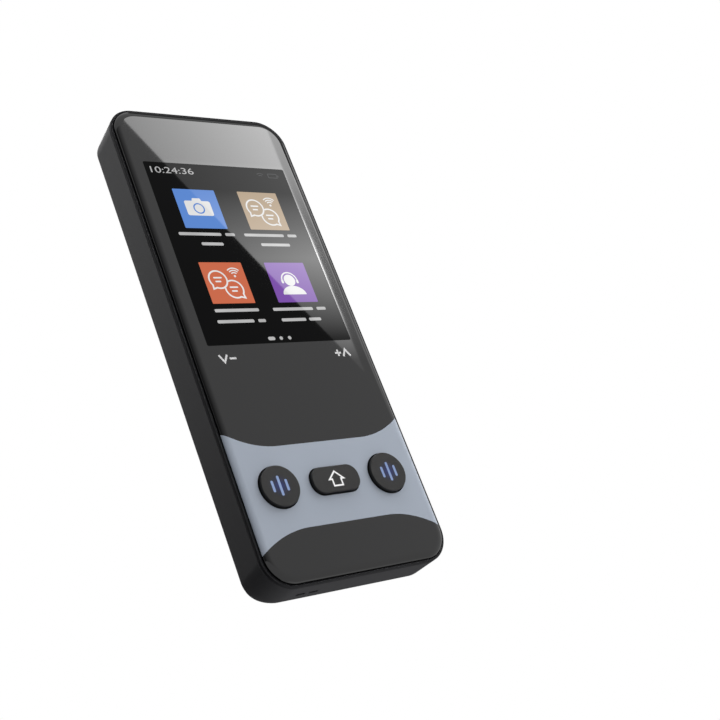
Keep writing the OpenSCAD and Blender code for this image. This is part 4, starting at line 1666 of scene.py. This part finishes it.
@dataclass
class Camera:
    """Trim, cover glass, barrel and lens at the top of the back."""

    trim_w: float = 12.2
    trim_r: float = 2.5
    trim_t: float = 0.5
    trim_edge: float = 0.13
    trim_y: float = 7.0
    cover: Size = (11.16, 11.16, 1.98)
    cover_y: float = 6.45
    opening_r: float = 3.1
    barrel_r: float = 3.3
    barrel_base_y: float = 2.6
    barrel_top_y: float = 5.3
    # Depth behind the barrel's top, and radius, from its rim down to the lens.
    baffles: tuple[Point, ...] = ((0.1, 3.3), (0.0, 3.2), (0.0, 2.7), (0.3, 2.3), (0.35, 2.0),
                                  (0.6, 1.8), (0.65, 1.6), (0.9, 1.4), (1.5, 1.4))
    lens_r: float = 1.38
    lens_sag: float = 0.55
    # Stands for the axis, where a ring can't have a radius of nothing.
    axis_r: float = 0.0005

    def trim(self) -> None:
        """A frame swept round the cover from a small section with rounded edges."""
        across, seat = self.trim_t, BODY.camera_seat_y
        recipe = Recipe("camera_trim_sweep", width=self.trim_w - across,
                        radius=self.trim_r - across / 2, across=across, deep=self.trim_y - seat,
                        height=BODY.camera[1], depth=(self.trim_y + seat) / 2)
        source = recipe.source
        path = recipe.soft_rectangle(source["width"], source["width"], source["radius"], 16)
        section = recipe.soft_rectangle(source["across"], source["deep"], self.trim_edge, 5)
        swept = add_node(recipe.tree, "GeometryNodeCurveToMesh",
                         {"Curve": path, "Profile Curve": section})
        upright = recipe.moved(swept.outputs[0], source["depth"], source["height"], UPRIGHT)
        piece = recipe.make(upright, TRIM_ALUMINIUM, "camera_trim_ring")
        edit_mesh(piece.data,
                  lambda mesh: bmesh.ops.recalc_face_normals(mesh, faces=mesh.faces))
        hand_over(smooth(piece, 35.0), TRIM_ALUMINIUM, "camera_trim", "body", "camera_trim")

    def round_piece(self, name: str, section: Sequence[Point], capped: bool = True) -> Object:
        """Turns a section of (depth, radius) about the camera's axis."""
        return turned(name, section, BODY.camera, 72, capped)

    def window(self) -> None:
        """The printed cover, and the clear disc in its middle."""
        front, radius = self.cover_y, self.opening_r
        cover = flat("camera_cover", [[rounded(self.cover, BODY.camera)]], BODY.camera_seat_y,
                     front)
        hole = [(BODY.camera_seat_y - 1, radius), (front + 1, radius)]
        join(cover, self.round_piece("hole", hole), Join.CUT)
        hand_over(smooth(cover), CAMERA_COVER, "camera_glass", "body", "camera_window")
        disc = [(front - 0.3, radius - 0.01), (front - 0.02, radius - 0.01)]
        clear = self.round_piece("camera_clear_disc", disc)
        hand_over(smooth(clear), CLEAR_GLASS, "camera_glass", "body")

    def barrel(self) -> None:
        """The barrel with its baffles, and the lens in it."""
        base, top, axis = self.barrel_base_y, self.barrel_top_y, self.axis_r
        section = [(base, self.barrel_r)] + [(top - behind, r) for behind, r in self.baffles]
        section += [(base + 0.3, 1.39), (base + 0.3, axis), (base, axis)]
        barrel = self.round_piece("camera_barrel_tube", section, capped=False)
        x, z = BODY.camera
        black = TurnedBlack("turned_black_aluminium", Vector((x, top, z)))
        hand_over(smooth(barrel, 20.0), black, "camera_trim", "body", "camera_barrel")
        bowl = [(top - 1.5, self.lens_r)]
        bowl += [(top - 1.0 + self.lens_sag * math.sin(a), max(self.lens_r * math.cos(a), axis))
                 for a in quarter_turn(14)]
        lens = self.round_piece("camera_lens_element", bowl)
        hand_over(smooth(lens, 60.0), LENS_GLASS, "camera_glass", "body", "camera_lens")

    def build(self) -> None:
        """Makes the camera's pieces and hands them over."""
        self.trim()
        self.window()
        self.barrel()


# ---- Inside ----

@dataclass
class Electronics:
    """Finishes of everything inside, and the contacts in the charging socket."""

    contacts: int = 12
    contact_pitch: float = 0.5
    contact: Place = (0.26, 0.05, 3.4)
    # From the tongue's outer end to the contacts' middle.
    contact_depth: float = 2.0
    finishes: dict[str, Finish] = field(default_factory=lambda: {
        "panel_adhesive": FOAM_TAPE, "display_module": DARK_PIXELS,
        "display_backplate": STAMPED_STEEL, "display_flex": AMBER_FLEX,
        "key_dome_sheet": SPRING_STEEL, "key_board": GREEN_BOARD, "power_switch": STAMPED_STEEL,
        "camera_module": FILLED_NYLON, "main_board": GREEN_BOARD,
        "processor_shield": STAMPED_STEEL, "modem_shield": STAMPED_STEEL,
        "board_connectors": NATURAL_NYLON, "usb_c_shell": STAMPED_STEEL,
        "usb_c_tongue": FILLED_NYLON, "battery": BATTERY_POUCH, "battery_tape": FOAM_TAPE,
        "battery_lead": AMBER_FLEX, "speaker": FILLED_NYLON, "speaker_gasket": BLACK_FOAM,
        "speaker_mesh": ACOUSTIC_MESH, "microphone": STAMPED_STEEL,
        "microphone_gasket": BLACK_FOAM, "vibration_motor": STAMPED_STEEL,
        "antenna_flex": AMBER_FLEX, "frame_screws": SCREW_STEEL, "board_screws": SCREW_STEEL})

    def socket_contacts(self) -> None:
        """A row of contacts on each face of the socket's tongue."""
        low, high = (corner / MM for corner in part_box("usb_c_tongue"))
        recipe = Recipe("socket_contact_rows", pitch=self.contact_pitch, gap=high.y - low.y,
                        middle=(high.y + low.y) / 2, height=high.z - self.contact_depth)
        source = recipe.source
        grid = recipe.grid(self.contacts, 2, source["pitch"], source["gap"])
        bar = add_node(recipe.tree, "GeometryNodeMeshCube", {"Size": self.contact})
        rows = add_node(recipe.tree, "GeometryNodeInstanceOnPoints", {
            "Points": recipe.moved(grid, source["middle"], source["height"]),
            "Instance": bar.outputs["Mesh"]})
        piece = recipe.make(rows.outputs[0], GOLD_CONTACT, "socket_contacts")
        hand_over(piece, GOLD_CONTACT, "stamped_steel", "body")

    def build(self) -> None:
        """Dresses the inside."""
        for node, finish in self.finishes.items():
            dress(node, finish)
        self.socket_contacts()


# ---- Studio ----

def glow_along(tree: Tree, axis: str, levels: Sequence[Point]) -> Socket:
    """Brightness that changes along one axis.

    Args:
        tree: The tree to add to.
        axis: X, Y or Z.
        levels: Places along the axis, in millimetres and in order, each with its brightness.

    Returns:
        A socket that gives the brightness.
    """
    lowest, highest = levels[0][0], levels[-1][0]
    brightest = max(level for _, level in levels)
    place = add_node(tree, "ShaderNodeSeparateXYZ", {
        0: add_node(tree, "ShaderNodeTexCoord").outputs["Object"]})
    along = add_node(tree, "ShaderNodeMapRange", {
        "Value": place.outputs[axis], "From Min": lowest * MM, "From Max": highest * MM})
    ramp = add_node(tree, "ShaderNodeValToRGB", {"Fac": along.outputs["Result"]})
    stops = ramp.color_ramp.elements
    for _ in levels[2:]:
        stops.new(0.5)
    for stop, (at, level) in zip(stops, levels):
        stop.position = (at - lowest) / (highest - lowest)
        stop.color = (level / brightest,) * 3 + (1.0,)
    return add_node(tree, "ShaderNodeMapRange", {
        "Value": ramp.outputs["Color"], "To Max": brightest}).outputs["Result"]


def staged(name: str, points: Sequence[Sequence[float]], faces: Sequence[Sequence[int]],
           shader: Callable[[Tree], Socket], seen_by: Sequence[str]) -> None:
    """Adds a flat thing of the studio.

    Args:
        name: Its name, which its material shares.
        points: Its corners, in millimetres.
        faces: Its faces.
        shader: Fills its material's tree and gives the shader that comes out of it.
        seen_by: The kinds of ray that see it.
    """
    data = bpy.data.meshes.new(name)
    data.from_pydata([tuple(Vector(point) * MM) for point in points], [], faces)
    piece = add_object(name, data)
    material = bpy.data.materials.new(name)
    tree = empty_tree(material)
    add_node(tree, "ShaderNodeOutputMaterial", {"Surface": shader(tree)})
    data.materials.append(material)
    for kind in ("camera", "diffuse", "glossy", "transmission", "shadow"):
        setattr(piece, "visible_" + kind, kind in seen_by)


@dataclass(frozen=True)
class Softbox:
    """A rectangular lamp."""

    name: str
    place: Place
    aim: Place
    size: Point
    radiance: float
    mirrored: bool = True

    def build(self) -> None:
        """Makes the lamp; its power follows from its radiance and its size."""
        lamp = bpy.data.lights.new(self.name, "AREA")
        lamp.shape = "RECTANGLE"
        lamp.size, lamp.size_y = self.size[0] * MM, self.size[1] * MM
        lamp.energy = self.radiance * math.pi * lamp.size * lamp.size_y
        made = add_object(self.name, lamp)
        made.visible_glossy = self.mirrored
        made.location = Vector(self.place) * MM
        direction = Vector(self.aim) - Vector(self.place)
        made.rotation_euler = direction.to_track_quat("-Z", "Y").to_euler()
        log.info("%s: radiance %.2f", self.name, self.radiance)


@dataclass(frozen=True)
class Board:
    """An upright board that keeps light off one side, with a faint glow of its own."""

    name: str
    low: Place
    high: Place
    axis: str
    # Places along the axis, each with the glow there.
    levels: tuple[Point, ...]
    seen_by: tuple[str, ...]

    def build(self) -> None:
        """Makes the board between its lowest and its highest corner."""
        corners = (self.low, (*self.high[:2], self.low[2]), self.high,
                   (*self.low[:2], self.high[2]))
        staged(self.name, corners, [(0, 1, 2, 3)], lambda tree: add_node(
            tree, "ShaderNodeEmission", {"Color": WHITE, "Strength": glow_along(
                tree, self.axis, self.levels)}).outputs[0], self.seen_by)


@dataclass
class Studio:
    """Floor, backdrop colour, lamps, the reflected card and the camera."""

    eye: Place = (-160.92, -203.72, -56.30)
    aim: Place = (19.81, -6.1, 49.90)
    roll: float = -21.944
    lens: float = 62.2445
    matt_light: float = 0.5
    floor_z: float = -0.2
    floor_reach: float = 2500.0
    floor_glow: float = 0.8
    shade_reach: float = 420.0
    card_y: float = -300.0
    # Points of the glass at which the card's edge is mirrored.
    card_edge: tuple[Point, ...] = ((-26.0, 125.6), (-15.4, 107.0), (2.4, 75.75), (12.0, 59.7),
                                    (30.0, 29.6), (48.0, -0.5))
    card_width: float = 260.0
    # Heights on the glass, each with the card's brightness there: before and beside the display.
    card_glow: tuple[Point, ...] = ((-0.5, 1.0), (50.0, 1.0), (56.0, 2.5), (66.0, 14.0),
                                    (78.0, 26.0), (88.0, 15.0), (97.0, 7.0), (103.5, 7.0),
                                    (105.5, 6.0), (125.6, 6.3))
    card_side_glow: tuple[Point, ...] = ((-0.5, 1.0), (50.0, 1.0), (66.0, 1.8), (88.0, 3.0),
                                         (103.5, 5.0), (125.6, 6.3))
    card_border: float = 19.55
    # How much brighter or dimmer the card is at the display's left and right edge.
    card_tilt: Point = (0.78, 1.36)
    boards: tuple[Board, ...] = (
        Board("left_board", (-320, -100, -700), (-320, 2600, 900), "Z",
              ((-700, 0.0), (220, 0.0), (340, 0.2), (550, 1.4)), ("diffuse", "glossy")),
        Board("low_left_board", (-320, -520, -700), (-320, -100, 100), "Z",
              ((-700, 0.0), (100, 0.01)), ("diffuse",)),
        Board("low_rear_board", (-320, 450, -700), (1100, 450, 20), "Z",
              ((-700, 0.2), (20, 0.25)), ("diffuse", "glossy")),
        # Keeps the curved top edge of the glass from glaring.
        Board("high_right_board", (600, -450, 480), (600, 900, 1500), "Z",
              ((480, 0.3), (1500, 0.1)), ("glossy",)),
        # Its shade runs over the curved edge of the glass.
        Board("front_left_board", (-1500, -900, 150), (500, -900, 900), "X",
              ((-1500, 0.08), (-900, 0.1), (-330, 0.22), (140, 0.6), (500, 1.0)), ("glossy",)))
    lamps: tuple[Softbox, ...] = (
        Softbox("right_softbox", (420, -160, 240), (0, 0, 60), (300, 300), 4.5, False),
        Softbox("right_sheen", (420, -160, 240), (0, 0, 60), (300, 300), 1.5),
        Softbox("top_softbox", (130, -40, 520), (0, 0, 60), (320, 320), 4.3, False),
        Softbox("back_softbox", (220, 330, 340), (0, 0, 90), (240, 240), 6.5),
        Softbox("low_fill", (120, -160, -320), (0, 0, 20), (260, 260), 0.4))

    def camera(self) -> None:
        """Sets the camera up: where it stands, what it looks at, its roll and its lens."""
        eye = Vector(self.eye)
        forward = (Vector(self.aim) - eye).normalized()
        level = forward.cross(Vector((0, 0, 1))).normalized()
        upright = level.cross(forward)
        turn = math.radians(self.roll)
        right = level * math.cos(turn) + upright * math.sin(turn)
        up = right.cross(forward)
        data = bpy.data.cameras.new("camera")
        data.lens = self.lens
        data.sensor_width = 36.0
        data.clip_start, data.clip_end = 0.01, 20.0
        made = add_object("camera", data)
        axes = Matrix((right, up, -forward)).transposed().to_4x4()
        made.matrix_world = Matrix.Translation(eye * MM) @ axes
        bpy.context.scene.camera = made

    def backdrop(self) -> None:
        """White all round for the camera and for mirror-like surfaces, softer for matt ones."""
        world = bpy.data.worlds.new("backdrop")
        bpy.context.scene.world = world
        tree = empty_tree(world)
        path = add_node(tree, "ShaderNodeLightPath").outputs
        seen = path["Is Camera Ray"]
        for other in ("Is Glossy Ray", "Is Transmission Ray"):
            seen = add_node(tree, "ShaderNodeMath", {0: seen, 1: path[other]},
                            operation="MAXIMUM").outputs[0]
        level = add_node(tree, "ShaderNodeMapRange", {"Value": seen, "To Min": self.matt_light})
        white = add_node(tree, "ShaderNodeBackground",
                         {"Color": WHITE, "Strength": level.outputs["Result"]})
        add_node(tree, "ShaderNodeOutputWorld", {"Surface": white.outputs[0]})

    def floor_paper(self, tree: Tree) -> Socket:
        """Paper that shows from above only, and takes a faint shade near the part.

        Args:
            tree: The tree to add to.

        Returns:
            Its shader.
        """
        own = add_node(tree, "ShaderNodeEmission",
                       {"Color": WHITE, "Strength": self.floor_glow})
        lit = add_node(tree, "ShaderNodeBsdfDiffuse", {"Color": (0.1, 0.1, 0.1, 1.0)})
        both = add_node(tree, "ShaderNodeAddShader", {0: own.outputs[0], 1: lit.outputs[0]})
        # Away from the part the paper is as white as the backdrop, so no horizon shows.
        white = add_node(tree, "ShaderNodeEmission", {"Color": WHITE})
        place = add_node(tree, "ShaderNodeTexCoord").outputs["Object"]
        near = round_halo(tree, place, [self.shade_reach] * 3)
        close = add_node(tree, "ShaderNodeMapRange", {"Value": near, "From Max": 0.6})
        top = add_node(tree, "ShaderNodeMixShader", {
            0: close.outputs["Result"], 1: white.outputs[0], 2: both.outputs[0]})
        behind = add_node(tree, "ShaderNodeNewGeometry").outputs["Backfacing"]
        clear = add_node(tree, "ShaderNodeBsdfTransparent")
        return add_node(tree, "ShaderNodeMixShader", {
            0: behind, 1: top.outputs[0], 2: clear.outputs[0]}).outputs[0]

    def floor(self) -> None:
        """A pale floor under the part."""
        reach = self.floor_reach
        corners = [(x * reach, y * reach, self.floor_z)
                   for x, y in ((-1, -1), (1, -1), (1, 1), (-1, 1))]
        staged("floor", corners, [(0, 1, 2, 3)], self.floor_paper, ("camera",))

    def card(self) -> None:
        """The bright panel whose edge the glass mirrors, in stretches of different brightness."""
        x, y, z = self.eye
        mirrored = Vector((x, 2 * BODY.glass_y - y, z))
        stretch = (self.card_y - mirrored.y) / (BODY.glass_y - mirrored.y)

        def seen_at(x: float, z: float) -> Vector:
            """The card's point that the camera sees mirrored at a point of the glass."""
            return mirrored + (Vector((x, BODY.glass_y, z)) - mirrored) * stretch

        edge = [seen_at(x, z) for x, z in self.card_edge]
        far = [point + Vector((self.card_width, 0.0, 0.0)) for point in edge]
        count = len(edge)
        faces = [(i, i + 1, count + i + 1, count + i) for i in range(count - 1)]
        middle, side = ([(seen_at(0.0, z).z, level) for z, level in levels]
                        for levels in (self.card_glow, self.card_side_glow))
        left, right = (seen_at(x, 0.0).x * MM for x in (-self.card_border, self.card_border))

        def paper(tree: Tree) -> Socket:
            """The card's glow, dimmer beside the display so that the curved edge doesn't glare.

            Args:
                tree: The tree to add to.

            Returns:
                The shader.
            """
            place = add_node(tree, "ShaderNodeTexCoord").outputs["Object"]
            across = add_node(tree, "ShaderNodeSeparateXYZ", {0: place}).outputs["X"]
            beyond = add_node(tree, "ShaderNodeMapRange", {
                "Value": across, "From Min": right, "From Max": right + MM})
            dimmer, brighter = self.card_tilt
            tilt = add_node(tree, "ShaderNodeMapRange", {
                "Value": across, "From Min": left, "From Max": right, "To Min": dimmer,
                "To Max": brighter})
            inner = add_node(tree, "ShaderNodeMath", {
                0: glow_along(tree, "Z", middle), 1: tilt.outputs["Result"]},
                operation="MULTIPLY")
            level = add_node(tree, "ShaderNodeMix", {
                "Factor": beyond.outputs["Result"], 2: inner.outputs[0],
                3: glow_along(tree, "Z", side)}, data_type="FLOAT")
            return add_node(tree, "ShaderNodeEmission", {
                "Color": WHITE, "Strength": level.outputs[0]}).outputs[0]

        staged("reflected_card", edge + far, faces, paper, ("glossy",))

    def build(self) -> None:
        """Sets up everything round the part."""
        bpy.context.scene.view_settings.view_transform = "Standard"
        self.camera()
        self.backdrop()
        self.floor()
        self.card()
        for piece in (*self.boards, *self.lamps):
            piece.build()


def main() -> None:
    """Builds the studio, then every sub-assembly in order."""
    logging.basicConfig(level=logging.INFO, format="%(name)s: %(message)s")
    Studio().build()
    for assembly in (RearCase(), FrontFrame(), FrontGlass(), Display(), FrontKeys(), PowerKey(),
                     Camera(), Electronics()):
        log.info("building %s", type(assembly).__name__)
        assembly.build()


if __name__ == "__main__":
    main()
